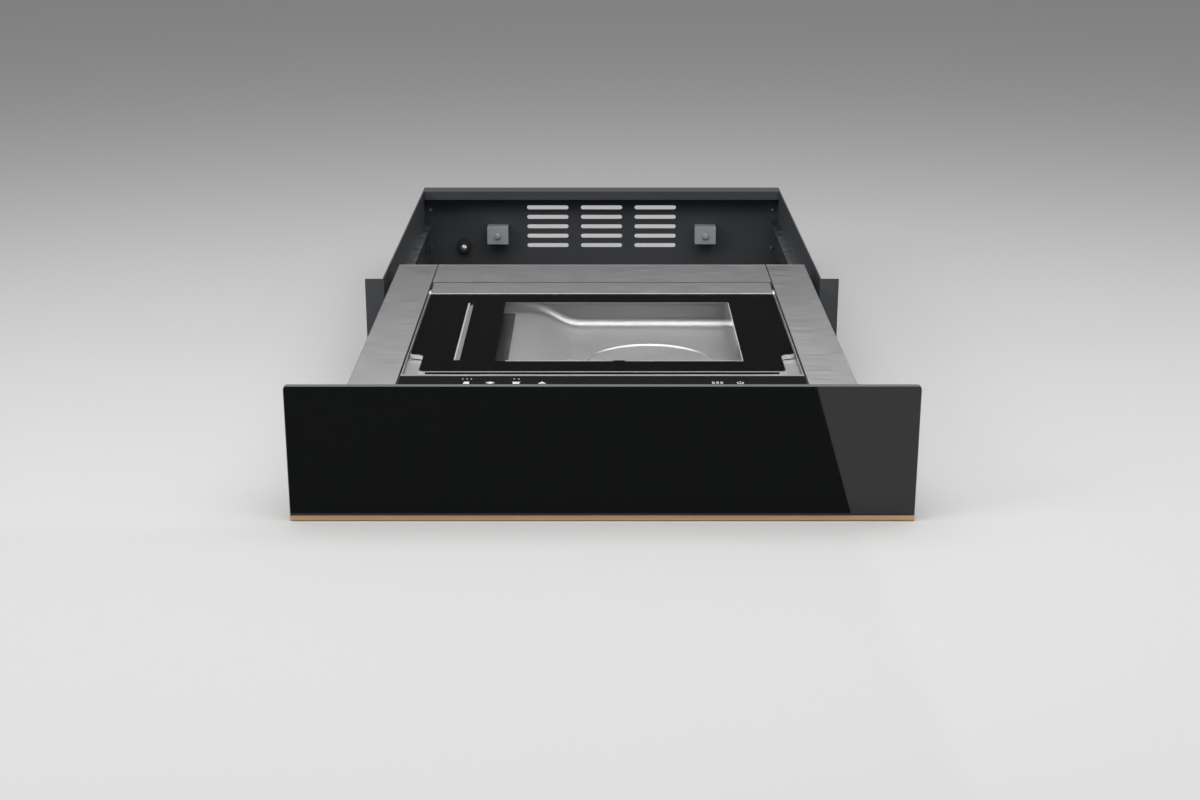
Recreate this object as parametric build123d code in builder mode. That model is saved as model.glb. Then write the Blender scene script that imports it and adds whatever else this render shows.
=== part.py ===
from build123d import *
from math import cos, pi, sin, sqrt
import os

# A built-in vacuum sealing drawer, shown pulled out of its housing.
# X runs to the right, Y runs back into the cabinet, Z runs up, all in millimetres.
# The origin is the middle of the housing's underside, on the floor of the niche.

# Front panel
panel_width = 597.0
panel_height = 135.0
panel_thickness = 20.0
panel_floor_gap = 1.0
panel_corner_radius = 4.0
panel_arris = 0.6
glass_thickness = 5.5
trim_height = 5.0
trim_sheet = 1.5
carrier_side_inset = 5.0
carrier_top_drop = 5.0
carrier_sheet = 1.2
carrier_lip = 20.0

# Housing in the niche
housing_width = 512.0
housing_rear_room = 28.0
housing_height = 126.0
housing_sheet = 1.5
flange_width = 20.5
tab_width = 14.0
tab_screw_spacing = 176.0
back_screw_heights = (38.0, 94.5)
back_screw_length = 6.0
brace_fold = 12.0
brace_gap = 1.2
vent_slot_length = 60.0
vent_slot_width = 6.0
vent_pitch = 14.0
base_vent_from_back = 88.0
base_vent_spacing = 120.0
wall_vent_spacing = 78.0
back_vent_height = 69.0
flange_screw_radius = 2.6
flange_screw_low = 20.0
flange_screw_spacing = 32.0
gland_bore_radius = 4.0
gland_outer_radius = 8.0
gland_length = 12.0
gland_flange = 3.0
gland_x = -200.0
gland_z = 40.0

# Travel of the drawer
drawer_travel = 415.5
closing_gap = 1.5

# Drawer body
drawer_floor_gap = 6.0
chassis_sheet = 1.2
chassis_vent_x = -85.0
chassis_vent_height = 63.0
top_step = 13.5
side_trim_side_gap = 2.1
side_trim_inner = 198.5
side_trim_sheet = 1.5
side_trim_skirt = 12.5
side_trim_edge_radius = 1.0
deck_sheet = 1.5
deck_recess = 5.5
ridge_length = 5.0
ridge_wall = 1.5
deck_upstand = 1.0
deck_upstand_gap = 1.4
deck_upstand_drop = 0.6

# Touch control strip behind the front panel
control_front_gap = 2.0
control_length = 52.0
control_side_gap = 1.0
touch_board_inset = 27.0
touch_board_margin = 8.0
touch_board_thickness = 1.6
chip_count = 6
chip_size = 12.0
chip_height = 2.0

# Telescopic slides
slide_thickness = 12.7
slide_height = 45.0
slide_centre_height = 62.0
slide_sheet = 1.4
slide_ball_radius = 1.4
slide_ball_clearance = 0.05
slide_ball_depth = 5.2
slide_race = 3.0
slide_middle_web_gap = 1.6
slide_middle_tip_gap = 1.8
slide_outer_tip_gap = 0.8
slide_inner_tip_gap = 1.2
slide_outer_screws = (40.0, 250.0, 420.0)
slide_inner_screws = (50.0, 200.0, 450.0)
cage_sheet = 0.6
cage_flange = 1.0
cage_outer_gap = 0.5
cage_inner_gap = 0.3
cage_tip_gap = 2.2
cage_length = 180.0
cage_ball_pitch = 32.0
cage_ball_count = 6

# Vacuum chamber
chamber_half_width = 167.0
chamber_length = 260.0
chamber_depth = 45.0
chamber_corner_radius = 28.0
chamber_floor_radius = 12.0
chamber_sheet = 1.5
platform_rise = 20.0
ramp_start = -22.0
ramp_end = -86.0
cradle_seat_depth = 4.5
cradle_seat_gap = 0.3
ring_x = 51.0
ring_from_chamber = 123.0
ring_radius = 67.5
ring_bead_radius = 3.0
ring_rise = 1.6
gasket_inset = 1.5
gasket_width = 8.0
gasket_outer_gap = 1.0
gasket_clearance = 0.3
gasket_shelf_drop = 12.5
basin_flange = 6.0

# Lid
lid_half_width = 195.4
lid_front_gap = 9.0
lid_front_overlap = 15.0
lid_rear_overlap = 21.5
lid_glass_thickness = 5.0
lid_edge_chamfer = 0.5
notch_width = 14.2
notch_length = 57.0
notch_radius = 7.0
pane_thickness = 10.0
pane_clearance = 2.0

# Lid hinge
rail_gap = 0.7
rail_length = 48.6
rail_half_width = 195.0
rail_sheet = 2.0
rail_jaw_length = 7.0
rail_jaw_thickness = 1.6
rail_web = 3.0
rail_skirt = 5.0
rail_end_plate = 5.0
rail_bead_radius = 0.9
pivot_from_rail_end = 27.8
pivot_drop = 9.0
pin_radius = 3.0
pin_clearance = 0.05
pin_length = 34.0
bracket_thickness = 2.5
bracket_ear_radius = 7.8
bracket_gap = 0.4
bracket_end_gap = 3.6
bracket_foot = 30.0
trough_front_gap = 1.0
trough_rear_gap = 2.2
trough_depth = 33.0
trough_sheet = 1.2
spring_wire_radius = 0.8
spring_mean_radius = 5.5
spring_pitch = 2.1
spring_turns = 6

# Seal bar
seal_bar_x = -145.0
seal_bar_width = 12.0
seal_bar_height = 5.0
seal_bar_length = 214.0
seal_bar_chamfer = 0.8
seal_bar_travel = 5.5
seal_bar_clearance = 1.0
seal_band_thickness = 0.4
seal_bar_end_margin = 3.0
cradle_right = -97.0
cradle_side_wall = 2.0
cradle_height = 6.5
cradle_chamfer = 1.0
counter_bar_width = 16.0
counter_holder_thickness = 1.5
counter_pad_width = 10.0
contact_gap = 0.3
piston_rod_radius = 3.0
piston_radius = 9.0
piston_height = 4.0
lift_cylinder_wall = 2.0
lift_cylinder_length = 28.0
lift_cylinder_spacing = 166.0

# Vacuum pump and its motor, lying across the drawer behind the lid hinge
pump_bay_length = 84.0
pump_axis_height = 50.0
pump_left = -170.0
pump_length = 58.0
pump_wall = 6.0
pump_block_half = 33.0
pump_chamfer = 8.0
pump_bore_radius = 22.0
pump_bore_offset = 2.5
rotor_radius = 19.0
rotor_end_clearance = 0.3
shaft_radius = 5.0
shaft_clearance = 0.05
vane_count = 3
vane_thickness = 2.0
vane_depth = 9.0
vane_side_gap = 0.1
vane_root_gap = 0.3
motor_length = 138.0
motor_radius = 34.0
motor_bore_radius = 21.0
motor_end_wall = 5.0
motor_foot_length = 24.0
motor_foot_height = 8.0
armature_radius = 20.0
pump_fan_radius = 27.0
pump_fan_hub_radius = 10.0
pump_fan_width = 12.0
pump_fan_gap = 1.5
pump_fan_blades = 7
pump_fan_blade_thickness = 2.0
cowl_length = 24.0
cowl_wall = 1.5
cowl_slot_count = 8
cowl_slot_length = 21.0
cowl_slot_width = 5.0
mount_radius = 8.0
mount_half_spacing = 20.6
mount_from_motor_start = 103.5
mount_stud_radius = 2.5
mount_stud_length = 5.0
mount_stud_hole = 6.0

# Hose, valve, transformer, boards and cooling fan
hose_radius = 5.0
hose_wall = 2.0
nozzle_radius = 3.0
nozzle_length = 7.0
hose_run_height = 32.0
hose_first_turn = 97.0
hose_last_turn = 242.0
hose_bend_radius = 30.0
hose_sweep_radius = 60.0
valve_x = 85.0
valve_width = 44.0
valve_depth = 24.0
valve_height = 36.0
valve_port_drop = 10.8
coil_length = 26.0
coil_radius = 11.0
coil_end_wall = 2.0
plunger_radius = 3.0
plunger_seat_depth = 8.0
plunger_travel = 3.0
transformer_width = 54.0
transformer_length = 66.0
transformer_height = 46.0
transformer_core_height = 37.0
transformer_coil_side_inset = 7.0
transformer_coil_end_inset = 13.0
transformer_coil_radius = 6.0
transformer_side_gap = 9.8
transformer_from_chamber = 77.0
board_width = 104.0
board_length = 190.0
board_x = 172.0
board_from_chamber = 132.0
board_standoff = 8.0
board_thickness = 1.6
standoff_radius = 3.5
standoff_inset = 6.0
capacitor_radius = 11.0
capacitor_height = 30.0
capacitor_x = 26.0
capacitor_places = (38.0, 68.4)
relay_size = (28.0, 14.0, 16.0)
relay_x = 20.0
relay_places = (111.5, 136.2, 160.9)
heat_sink_x = -27.0
heat_sink_place = 80.0
heat_sink_size = (26.0, 60.0, 3.0)
heat_sink_fin_count = 5
heat_sink_fin_pitch = 5.0
heat_sink_fin_size = (2.0, 60.0, 24.0)
terminal_size = (40.0, 12.0, 10.0)
terminal_x = -24.0
terminal_place = 10.0
choke_size = (30.0, 26.0, 20.0)
choke_x = -15.0
choke_place = 163.0
lead_radius = 2.5
lead_bend_radius = 24.0
fan_size = 60.0
fan_depth = 15.0
fan_x = 170.0
fan_height = 52.0
fan_corner_radius = 3.0
fan_bore_radius = 28.0
fan_hub_radius = 12.0
fan_hub_depth = 5.0
fan_spoke_width = 3.0
fan_spoke_depth = 2.0
fan_shaft_radius = 2.0
fan_shaft_reach = 3.0
fan_front_gap = 1.0
fan_blade_count = 7
fan_blade_chord = 9.0
fan_blade_thickness = 1.2
fan_blade_angle = 35.0
fan_blade_root = 0.5
fan_tip_clearance = 1.0

# Push latches at the back of the housing and the lid switch
latch_x = 150.0
latch_height = 60.0
latch_width = 30.0
latch_tall = 24.0
latch_plunger_radius = 4.0
latch_plunger_travel = 4.0
switch_x = -190.0
switch_from_chamber = 107.0
switch_plunger_radius = 1.8
switch_travel = 1.5
switch_body_width = 12.0
switch_body_length = 18.0
switch_body_height = 14.0
switch_plunger_depth = 9.8
switch_plunger_chamfer = 0.5

# Screws
screw_radius = 2.0
screw_hole_clearance = 0.1
screw_head_radius = 3.6
screw_head_height = 2.0
running_gap = 0.3
overcut = 1.0

# Places along the drawer, behind the front face of the glass, each worked out from the one before
control_start = panel_thickness + control_front_gap
ridge_start = control_start + control_length
lid_front = ridge_start + ridge_length + lid_front_gap
chamber_front = lid_front + lid_front_overlap
chamber_end = chamber_front + chamber_length
lid_length = lid_front_overlap + chamber_length + lid_rear_overlap
opening_grow = gasket_inset + gasket_width + gasket_outer_gap
trough_start = chamber_end + opening_grow + chamber_sheet + trough_front_gap
rail_end = lid_front + lid_length + rail_gap + rail_length
pivot_behind_front = rail_end - pivot_from_rail_end
trough_end = rail_end + trough_rear_gap
pump_axis_behind_front = trough_end + pump_bay_length / 2
drawer_length = trough_end + pump_bay_length - panel_thickness
slide_length = drawer_length
housing_depth = slide_length + housing_rear_room
ring_behind_front = chamber_front + ring_from_chamber
switch_behind_front = chamber_front + switch_from_chamber
transformer_behind_front = chamber_front + transformer_from_chamber
board_behind_front = chamber_front + board_from_chamber

# Places worked out from the sizes above
niche_y = -housing_depth / 2
back_y = housing_depth / 2
closed_back_y = niche_y - closing_gap
front_y = closed_back_y - drawer_travel - panel_thickness
carrier_back_y = front_y + panel_thickness
drawer_rear_y = carrier_back_y + drawer_length
closed_rear_y = drawer_rear_y + drawer_travel
panel_bottom = panel_floor_gap
panel_top = panel_bottom + panel_height
glass_bottom = panel_bottom + trim_height
top_z = panel_top - top_step
deck_z = top_z - deck_recess
housing_inner = housing_width / 2 - housing_sheet
chassis_half = housing_inner - slide_thickness
side_trim_half_width = chassis_half + side_trim_side_gap + side_trim_sheet
transformer_x = transformer_side_gap + transformer_width / 2 - chassis_half
chassis_bottom = drawer_floor_gap
chassis_floor = chassis_bottom + chassis_sheet
chassis_top = deck_z - deck_sheet
trough_floor = deck_z - trough_depth
lid_bottom = top_z - lid_glass_thickness
pane_bottom = lid_bottom - pane_thickness
chamber_floor = top_z - chamber_depth
platform_z = chamber_floor + platform_rise
cradle_seat_z = platform_z - cradle_seat_depth
shelf_z = top_z - gasket_shelf_drop
pivot_z = top_z - pivot_drop
screw_hole = screw_radius + screw_hole_clearance


def behind(distance):
    """Y of a place that lies this far behind the front face of the glass, drawer open."""
    return front_y + distance


def middle(limits):
    """Half way between two limits."""
    return (limits[0] + limits[1]) / 2


def span(limits):
    """Distance between two limits."""
    return limits[1] - limits[0]


def both_sides(half):
    """Limits that lie evenly about the middle plane."""
    return (-half, half)


def on_side(sign, near, far):
    """Limits at two distances from the middle plane, on the left (-1) or right (1)."""
    return tuple(sorted((sign * near, sign * far)))


def block(x, y, z, mode=Mode.ADD):
    """A box between two limits on each axis."""
    with Locations((middle(x), middle(y), middle(z))):
        Box(span(x), span(y), span(z), mode=mode)


def rounded_slab(x, y, z, radius, mode=Mode.ADD):
    """An upright slab with round corners between two limits on each axis."""
    with BuildSketch(Plane.XY.offset(z[0])) as outline:
        with Locations((middle(x), middle(y))):
            RectangleRounded(span(x), span(y), radius)
    extrude(outline.sketch, amount=span(z), mode=mode)


def bar(radius, start, direction, length, mode=Mode.ADD):
    """A round bar from a starting point along a direction."""
    with Locations(Plane(origin=start, z_dir=direction)):
        Cylinder(radius, length, align=(Align.CENTER, Align.CENTER, Align.MIN), mode=mode)


def keep(part, name):
    """Label a finished piece and write it to its own file."""
    part.label = name
    export_step(part, f"parts/{name}.step")


def screw(point, direction, length):
    """A pan head screw: its head stands on the point and its shank runs along the direction."""
    bar(screw_radius, point, direction, length)
    back = tuple(-part for part in direction)
    bar(screw_head_radius, point, back, screw_head_height)


os.makedirs("parts", exist_ok=True)

# Rows of screws in the housing
tab_screw_y = [-tab_screw_spacing, 0, tab_screw_spacing]
slide_screw_y = [niche_y + housing_sheet + place for place in slide_outer_screws]

# Housing base, a folded sheet pan with vent slots towards the back
with BuildPart() as housing_base:
    block(both_sides(housing_width / 2), (niche_y, back_y), (0, housing_sheet))
    with BuildSketch(Plane.XY):
        with Locations((0, back_y - base_vent_from_back)):
            with GridLocations(base_vent_spacing, vent_pitch, 3, 4):
                SlotOverall(vent_slot_length, vent_slot_width)
    extrude(amount=housing_sheet, mode=Mode.SUBTRACT)
    with Locations(*[(sign * (housing_inner - tab_width / 2), y, 0)
                     for sign in (-1, 1) for y in tab_screw_y]):
        Cylinder(screw_hole, 4 * housing_sheet, mode=Mode.SUBTRACT)
keep(housing_base.part, "housing_base")

# Housing sides, with the front flange that is screwed to the cabinet
for side, sign in (("left", -1), ("right", 1)):
    with BuildPart() as housing_side:
        block(on_side(sign, housing_inner, housing_width / 2), (niche_y, back_y - housing_sheet),
              (housing_sheet, housing_height))
        block(on_side(sign, housing_inner, housing_width / 2 + flange_width),
              (niche_y, niche_y + housing_sheet), (housing_sheet, housing_height))
        block(on_side(sign, housing_inner - tab_width, housing_inner),
              (niche_y + tab_width, back_y - 2 * tab_width), (housing_sheet, 2 * housing_sheet))
        block(on_side(sign, housing_inner - tab_width, housing_inner),
              (back_y - 2 * housing_sheet, back_y - housing_sheet),
              (2 * housing_sheet + running_gap, housing_height - 2 * housing_sheet))
        for height in (flange_screw_low, flange_screw_low + flange_screw_spacing):
            bar(flange_screw_radius,
                (sign * (housing_width / 2 + flange_width / 2), niche_y - overcut, height),
                (0, 1, 0), 4 * housing_sheet, Mode.SUBTRACT)
        for y in tab_screw_y:
            bar(screw_hole, (sign * (housing_inner - tab_width / 2), y, 0), (0, 0, 1),
                4 * housing_sheet, Mode.SUBTRACT)
        for y in slide_screw_y:
            bar(screw_hole, (sign * (housing_inner - overcut), y, slide_centre_height), (sign, 0, 0),
                4 * housing_sheet, Mode.SUBTRACT)
        for height in back_screw_heights:
            bar(screw_hole, (sign * (housing_inner - tab_width / 2), back_y - 4 * housing_sheet, height),
                (0, 1, 0), 6 * housing_sheet, Mode.SUBTRACT)
    keep(housing_side.part, f"housing_side_{side}")

# Housing back, with louvre slots, the hole for the cable gland and a folded flange along its top
# that stiffens the housing behind the closed drawer
brace_y = closed_rear_y + brace_gap
with BuildPart() as housing_back:
    block(both_sides(housing_width / 2), (back_y - housing_sheet, back_y), (housing_sheet, housing_height))
    block(both_sides(housing_inner - running_gap), (brace_y, back_y),
          (housing_height - housing_sheet, housing_height))
    block(both_sides(housing_inner - running_gap), (brace_y, brace_y + housing_sheet),
          (housing_height - brace_fold, housing_height))
    with BuildSketch(Plane.XZ.offset(-back_y)):
        with Locations((0, back_vent_height)):
            with GridLocations(wall_vent_spacing, vent_pitch, 3, 5):
                SlotOverall(vent_slot_length, vent_slot_width)
    extrude(amount=housing_sheet * 2, mode=Mode.SUBTRACT)
    bar(gland_outer_radius, (gland_x, back_y - 2 * housing_sheet, gland_z), (0, 1, 0),
        4 * housing_sheet, Mode.SUBTRACT)
    for sign in (-1, 1):
        for height in back_screw_heights:
            bar(screw_hole, (sign * (housing_inner - tab_width / 2), back_y - 2 * housing_sheet, height),
                (0, 1, 0), 4 * housing_sheet, Mode.SUBTRACT)
keep(housing_back.part, "housing_back")

# Screws of the housing: base to sides, back to sides, slides to sides
with BuildPart() as housing_screws:
    for sign in (-1, 1):
        for y in tab_screw_y:
            screw((sign * (housing_inner - tab_width / 2), y, 2 * housing_sheet), (0, 0, -1),
                  2 * housing_sheet - running_gap)
        for height in back_screw_heights:
            screw((sign * (housing_inner - tab_width / 2), back_y, height), (0, -1, 0),
                  back_screw_length)
        for y in slide_screw_y:
            screw((sign * housing_width / 2, y, slide_centre_height), (-sign, 0, 0),
                  housing_sheet + slide_sheet)
keep(housing_screws.part, "housing_screws")

# Cable gland in the back wall: the flanged bush that the mains lead goes through
with BuildPart() as mains_gland:
    bar(gland_outer_radius - running_gap, (gland_x, back_y - gland_length, gland_z), (0, 1, 0),
        gland_length)
    bar(gland_outer_radius + gland_flange, (gland_x, back_y - housing_sheet - gland_flange, gland_z),
        (0, 1, 0), gland_flange)
    bar(gland_bore_radius, (gland_x, back_y - gland_length - overcut, gland_z), (0, 1, 0),
        gland_length + 2 * overcut, Mode.SUBTRACT)
keep(mains_gland.part, "mains_gland")


def slide_channel(sign, web, sheet, tip, half_height, y):
    """A slide member: an upright web and two flanges, at distances from the housing wall."""
    block(on_side(sign, housing_inner - web - sheet, housing_inner - web), y,
          (slide_centre_height - half_height, slide_centre_height + half_height))
    near, far = sorted((housing_inner - tip, housing_inner - web))
    for up in (-1, 1):
        z = sorted((slide_centre_height + up * half_height,
                    slide_centre_height + up * (half_height - sheet)))
        block(on_side(sign, near, far), y, tuple(z))


def ball_cage(sign, web, tip, race_centre, y_centre):
    """A cage strip with two rows of balls, in the race between two slide members."""
    y = (y_centre - cage_length / 2, y_centre + cage_length / 2)
    half = race_centre + cage_flange / 2
    rows = [y_centre + cage_ball_pitch * (index - (cage_ball_count - 1) / 2)
            for index in range(cage_ball_count)]
    ball_x = sign * (housing_inner - ball_line)
    block(on_side(sign, housing_inner - web - cage_sheet, housing_inner - web), y,
          (slide_centre_height - half, slide_centre_height + half))
    for up in (-1, 1):
        centre = slide_centre_height + up * race_centre
        block(on_side(sign, housing_inner - tip, housing_inner - web), y,
              (centre - cage_flange / 2, centre + cage_flange / 2))
        for row in rows:
            bar(slide_ball_radius + slide_ball_clearance, (ball_x, row, centre - cage_flange), (0, 0, 1),
                2 * cage_flange, Mode.SUBTRACT)
    for up in (-1, 1):
        with Locations(*[(ball_x, row, slide_centre_height + up * race_centre) for row in rows]):
            Sphere(slide_ball_radius)


outer_half = slide_height / 2
middle_half = outer_half - slide_sheet - slide_race
inner_half = middle_half - slide_sheet - slide_race
outer_race = middle_half + slide_race / 2
inner_race = inner_half + slide_race / 2
middle_web = slide_sheet + slide_middle_web_gap
middle_tip = slide_thickness - slide_middle_tip_gap
outer_tip = slide_thickness - slide_outer_tip_gap
inner_tip = middle_web + slide_sheet + slide_inner_tip_gap
outer_cage_web = slide_sheet + cage_outer_gap
inner_cage_web = middle_web + slide_sheet + cage_inner_gap
cage_tip = slide_thickness - cage_tip_gap
ball_line = slide_thickness - slide_ball_depth
outer_slide_y = (niche_y + housing_sheet, niche_y + housing_sheet + slide_length)
inner_slide_y = (carrier_back_y, carrier_back_y + slide_length)
middle_slide_y = tuple((a + b) / 2 for a, b in zip(outer_slide_y, inner_slide_y))
outer_cage_y = (outer_slide_y[0] + middle_slide_y[1]) / 2
inner_cage_y = (middle_slide_y[0] + inner_slide_y[1]) / 2
drawer_screw_y = [carrier_back_y + place for place in slide_inner_screws]

# Telescopic slides, one each side, of three members
for side, sign in (("left", -1), ("right", 1)):
    with BuildPart() as slide_outer:
        slide_channel(sign, 0, slide_sheet, outer_tip, outer_half, outer_slide_y)
        for y in slide_screw_y:
            bar(screw_hole, (sign * (housing_inner + overcut), y, slide_centre_height), (-sign, 0, 0),
                3 * slide_sheet, Mode.SUBTRACT)
    keep(slide_outer.part, f"slide_outer_{side}")

    with BuildPart() as slide_middle:
        slide_channel(sign, middle_web, slide_sheet, middle_tip, middle_half, middle_slide_y)
    keep(slide_middle.part, f"slide_middle_{side}")

    with BuildPart() as slide_inner:
        slide_channel(sign, slide_thickness - slide_sheet, slide_sheet, inner_tip, inner_half,
                      inner_slide_y)
        for y in drawer_screw_y:
            bar(screw_hole, (sign * (chassis_half - overcut), y, slide_centre_height), (sign, 0, 0),
                3 * slide_sheet, Mode.SUBTRACT)
    keep(slide_inner.part, f"slide_inner_{side}")

# Ball cages between the slide members, a pair for each race
for race, web, centre, cage_y in (("outer", outer_cage_web, outer_race, outer_cage_y),
                                  ("inner", inner_cage_web, inner_race, inner_cage_y)):
    with BuildPart() as ball_cages:
        for sign in (-1, 1):
            ball_cage(sign, web, cage_tip, centre, cage_y)
    keep(ball_cages.part, f"ball_cages_{race}")

# Push latches on the housing's back wall and their plungers
latch_front = closed_rear_y + running_gap + latch_plunger_travel
latch_back = back_y - housing_sheet
with BuildPart() as push_latch_bodies:
    for sign in (-1, 1):
        block((sign * latch_x - latch_width / 2, sign * latch_x + latch_width / 2),
              (latch_front, latch_back),
              (latch_height - latch_tall / 2, latch_height + latch_tall / 2))
        bar(latch_plunger_radius + running_gap / 2, (sign * latch_x, latch_front - overcut, latch_height),
            (0, 1, 0), latch_back - latch_front - 2, Mode.SUBTRACT)
keep(push_latch_bodies.part, "push_latch_bodies")

for side, sign in (("left", -1), ("right", 1)):
    with BuildPart() as latch_plunger:
        bar(latch_plunger_radius, (sign * latch_x, closed_rear_y + running_gap, latch_height),
            (0, 1, 0), latch_back - latch_front - latch_plunger_travel)
        chamfer(latch_plunger.edges().group_by(Axis.Y)[0], latch_plunger_radius / 4)
    keep(latch_plunger.part, f"latch_plunger_{side}")

# Drawer chassis, a folded sheet tray with a fan opening in its back wall
pump_y = behind(pump_axis_behind_front)
mount_x = [pump_left + pump_length / 2, pump_left + pump_length + mount_from_motor_start]
mount_y = [pump_y - mount_half_spacing, pump_y + mount_half_spacing]
with BuildPart() as drawer_chassis:
    block(both_sides(chassis_half), (carrier_back_y, drawer_rear_y), (chassis_bottom, chassis_top))
    block(both_sides(chassis_half - chassis_sheet),
          (carrier_back_y + chassis_sheet, drawer_rear_y - chassis_sheet),
          (chassis_floor, chassis_top + overcut), Mode.SUBTRACT)
    bar(fan_bore_radius, (fan_x, drawer_rear_y - 2 * chassis_sheet, fan_height), (0, 1, 0),
        4 * chassis_sheet, Mode.SUBTRACT)
    with BuildSketch(Plane.XZ.offset(-drawer_rear_y)):
        with Locations((chassis_vent_x, chassis_vent_height)):
            with GridLocations(wall_vent_spacing, vent_pitch, 3, 3):
                SlotOverall(vent_slot_length, vent_slot_width)
    extrude(amount=2 * chassis_sheet, mode=Mode.SUBTRACT)
    for sign in (-1, 1):
        for y in drawer_screw_y:
            bar(screw_hole, (sign * (chassis_half + overcut), y, slide_centre_height), (-sign, 0, 0),
                4 * chassis_sheet, Mode.SUBTRACT)
keep(drawer_chassis.part, "drawer_chassis")

# Screws that hold the slides to the chassis
with BuildPart() as chassis_screws:
    for sign in (-1, 1):
        for y in drawer_screw_y:
            screw((sign * (chassis_half - chassis_sheet), y, slide_centre_height), (sign, 0, 0),
                  chassis_sheet + slide_sheet)
keep(chassis_screws.part, "chassis_screws")

# Front glass, a flat black pane with round upper corners and polished arrises
with BuildPart() as front_glass:
    with BuildSketch(Plane.XZ.offset(-front_y)) as glass_outline:
        with Locations((0, (glass_bottom + panel_top) / 2)):
            Rectangle(panel_width, panel_top - glass_bottom)
        fillet(glass_outline.vertices().group_by(Axis.Z)[-1], panel_corner_radius)
    extrude(amount=-glass_thickness)
    chamfer(front_glass.faces().sort_by(Axis.Y)[0].edges(), panel_arris)
keep(front_glass.part, "front_glass")

# Steel carrier behind the glass, a shallow pan with a lip round its open back
carrier_x = panel_width / 2 - carrier_side_inset
carrier_z = (glass_bottom, panel_top - carrier_top_drop)
with BuildPart() as front_carrier:
    block(both_sides(carrier_x), (front_y + glass_thickness, carrier_back_y), carrier_z)
    block(both_sides(carrier_x - carrier_sheet),
          (front_y + glass_thickness + carrier_sheet, carrier_back_y - carrier_sheet),
          (carrier_z[0] + carrier_sheet, carrier_z[1] - carrier_sheet), Mode.SUBTRACT)
    block(both_sides(carrier_x - carrier_lip),
          (carrier_back_y - 2 * carrier_sheet, carrier_back_y + overcut),
          (carrier_z[0] + carrier_lip, carrier_z[1] - carrier_lip), Mode.SUBTRACT)
keep(front_carrier.part, "front_carrier")

# Copper trim, an angle along the lower edge of the front panel
with BuildPart() as front_trim:
    block(both_sides(panel_width / 2), (front_y, front_y + glass_thickness),
          (panel_bottom, glass_bottom))
    block(both_sides(panel_width / 2), (front_y, carrier_back_y),
          (glass_bottom - trim_sheet, glass_bottom))
keep(front_trim.part, "front_trim")

# Brushed side trims along the top of the drawer
for side, sign in (("left", -1), ("right", 1)):
    with BuildPart() as side_trim:
        trim_y = (carrier_back_y, drawer_rear_y)
        block(on_side(sign, side_trim_inner, side_trim_half_width), trim_y,
              (top_z - side_trim_sheet, top_z))
        block(on_side(sign, side_trim_half_width - side_trim_sheet, side_trim_half_width), trim_y,
              (top_z - side_trim_skirt, top_z))
        block(on_side(sign, side_trim_inner, side_trim_inner + side_trim_sheet), trim_y,
              (deck_z, top_z))
        long_top_edges = side_trim.edges().filter_by(Axis.Y).group_by(Axis.Z)[-1]
        fillet(long_top_edges, side_trim_edge_radius)
    keep(side_trim.part, f"side_trim_{side}")

# Recessed deck: a steel plate with a ridge in front of the lid and openings for what it carries
chamber_x = both_sides(chamber_half_width)
chamber_y = (behind(chamber_front), behind(chamber_end))
ridge_y = (behind(ridge_start), behind(ridge_start + ridge_length))
upstand_far = side_trim_inner - deck_upstand_gap
trough_y = (behind(trough_start), behind(trough_end))
touch_x = both_sides(upstand_far - touch_board_inset)
touch_y = (behind(control_start + touch_board_margin), behind(ridge_start - touch_board_margin))


def grown(limits, amount):
    """Limits moved outwards by the same amount at both ends."""
    return (limits[0] - amount, limits[1] + amount)


with BuildPart() as deck_plate:
    block(both_sides(chassis_half), (carrier_back_y, drawer_rear_y), (chassis_top, deck_z))
    block(both_sides(upstand_far), ridge_y, (deck_z, top_z))
    block(both_sides(upstand_far - ridge_wall), (ridge_y[0] + ridge_wall, ridge_y[1] - ridge_wall),
          (chassis_top - overcut, top_z - ridge_wall), Mode.SUBTRACT)
    for sign in (-1, 1):
        block(on_side(sign, upstand_far - deck_upstand, upstand_far), (ridge_y[1], trough_y[0]),
              (deck_z, top_z - deck_upstand_drop))
    rounded_slab(grown(chamber_x, opening_grow), grown(chamber_y, opening_grow),
                 (chassis_top - overcut, deck_z + overcut), chamber_corner_radius + opening_grow,
                 Mode.SUBTRACT)
    block(grown(touch_x, overcut), grown(touch_y, overcut), (chassis_top - overcut, deck_z + overcut),
          Mode.SUBTRACT)
    block(both_sides(side_trim_inner - bracket_gap / 2), (trough_y[0], drawer_rear_y + overcut),
          (chassis_top - overcut, deck_z + overcut), Mode.SUBTRACT)
    bar(switch_plunger_radius + running_gap, (switch_x, behind(switch_behind_front), chassis_top - overcut),
        (0, 0, 1), 4 * deck_sheet, Mode.SUBTRACT)
keep(deck_plate.part, "deck_plate")

# Touch control glass and the board bonded under it
with BuildPart() as control_glass:
    block(both_sides(side_trim_inner - control_side_gap), (behind(control_start), ridge_y[0]),
          (deck_z, top_z))
    chamfer(control_glass.faces().sort_by(Axis.Z)[-1].edges(), panel_arris / 2)
keep(control_glass.part, "control_glass")

with BuildPart() as touch_board:
    block(touch_x, touch_y, (deck_z - touch_board_thickness, deck_z))
    with BuildSketch(Plane.XY.offset(deck_z - touch_board_thickness - chip_height)):
        with Locations((0, middle(touch_y))):
            with GridLocations(span(touch_x) / chip_count, chip_size, chip_count, 1):
                Rectangle(chip_size, chip_size)
    extrude(amount=chip_height)
keep(touch_board.part, "touch_board")

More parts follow.
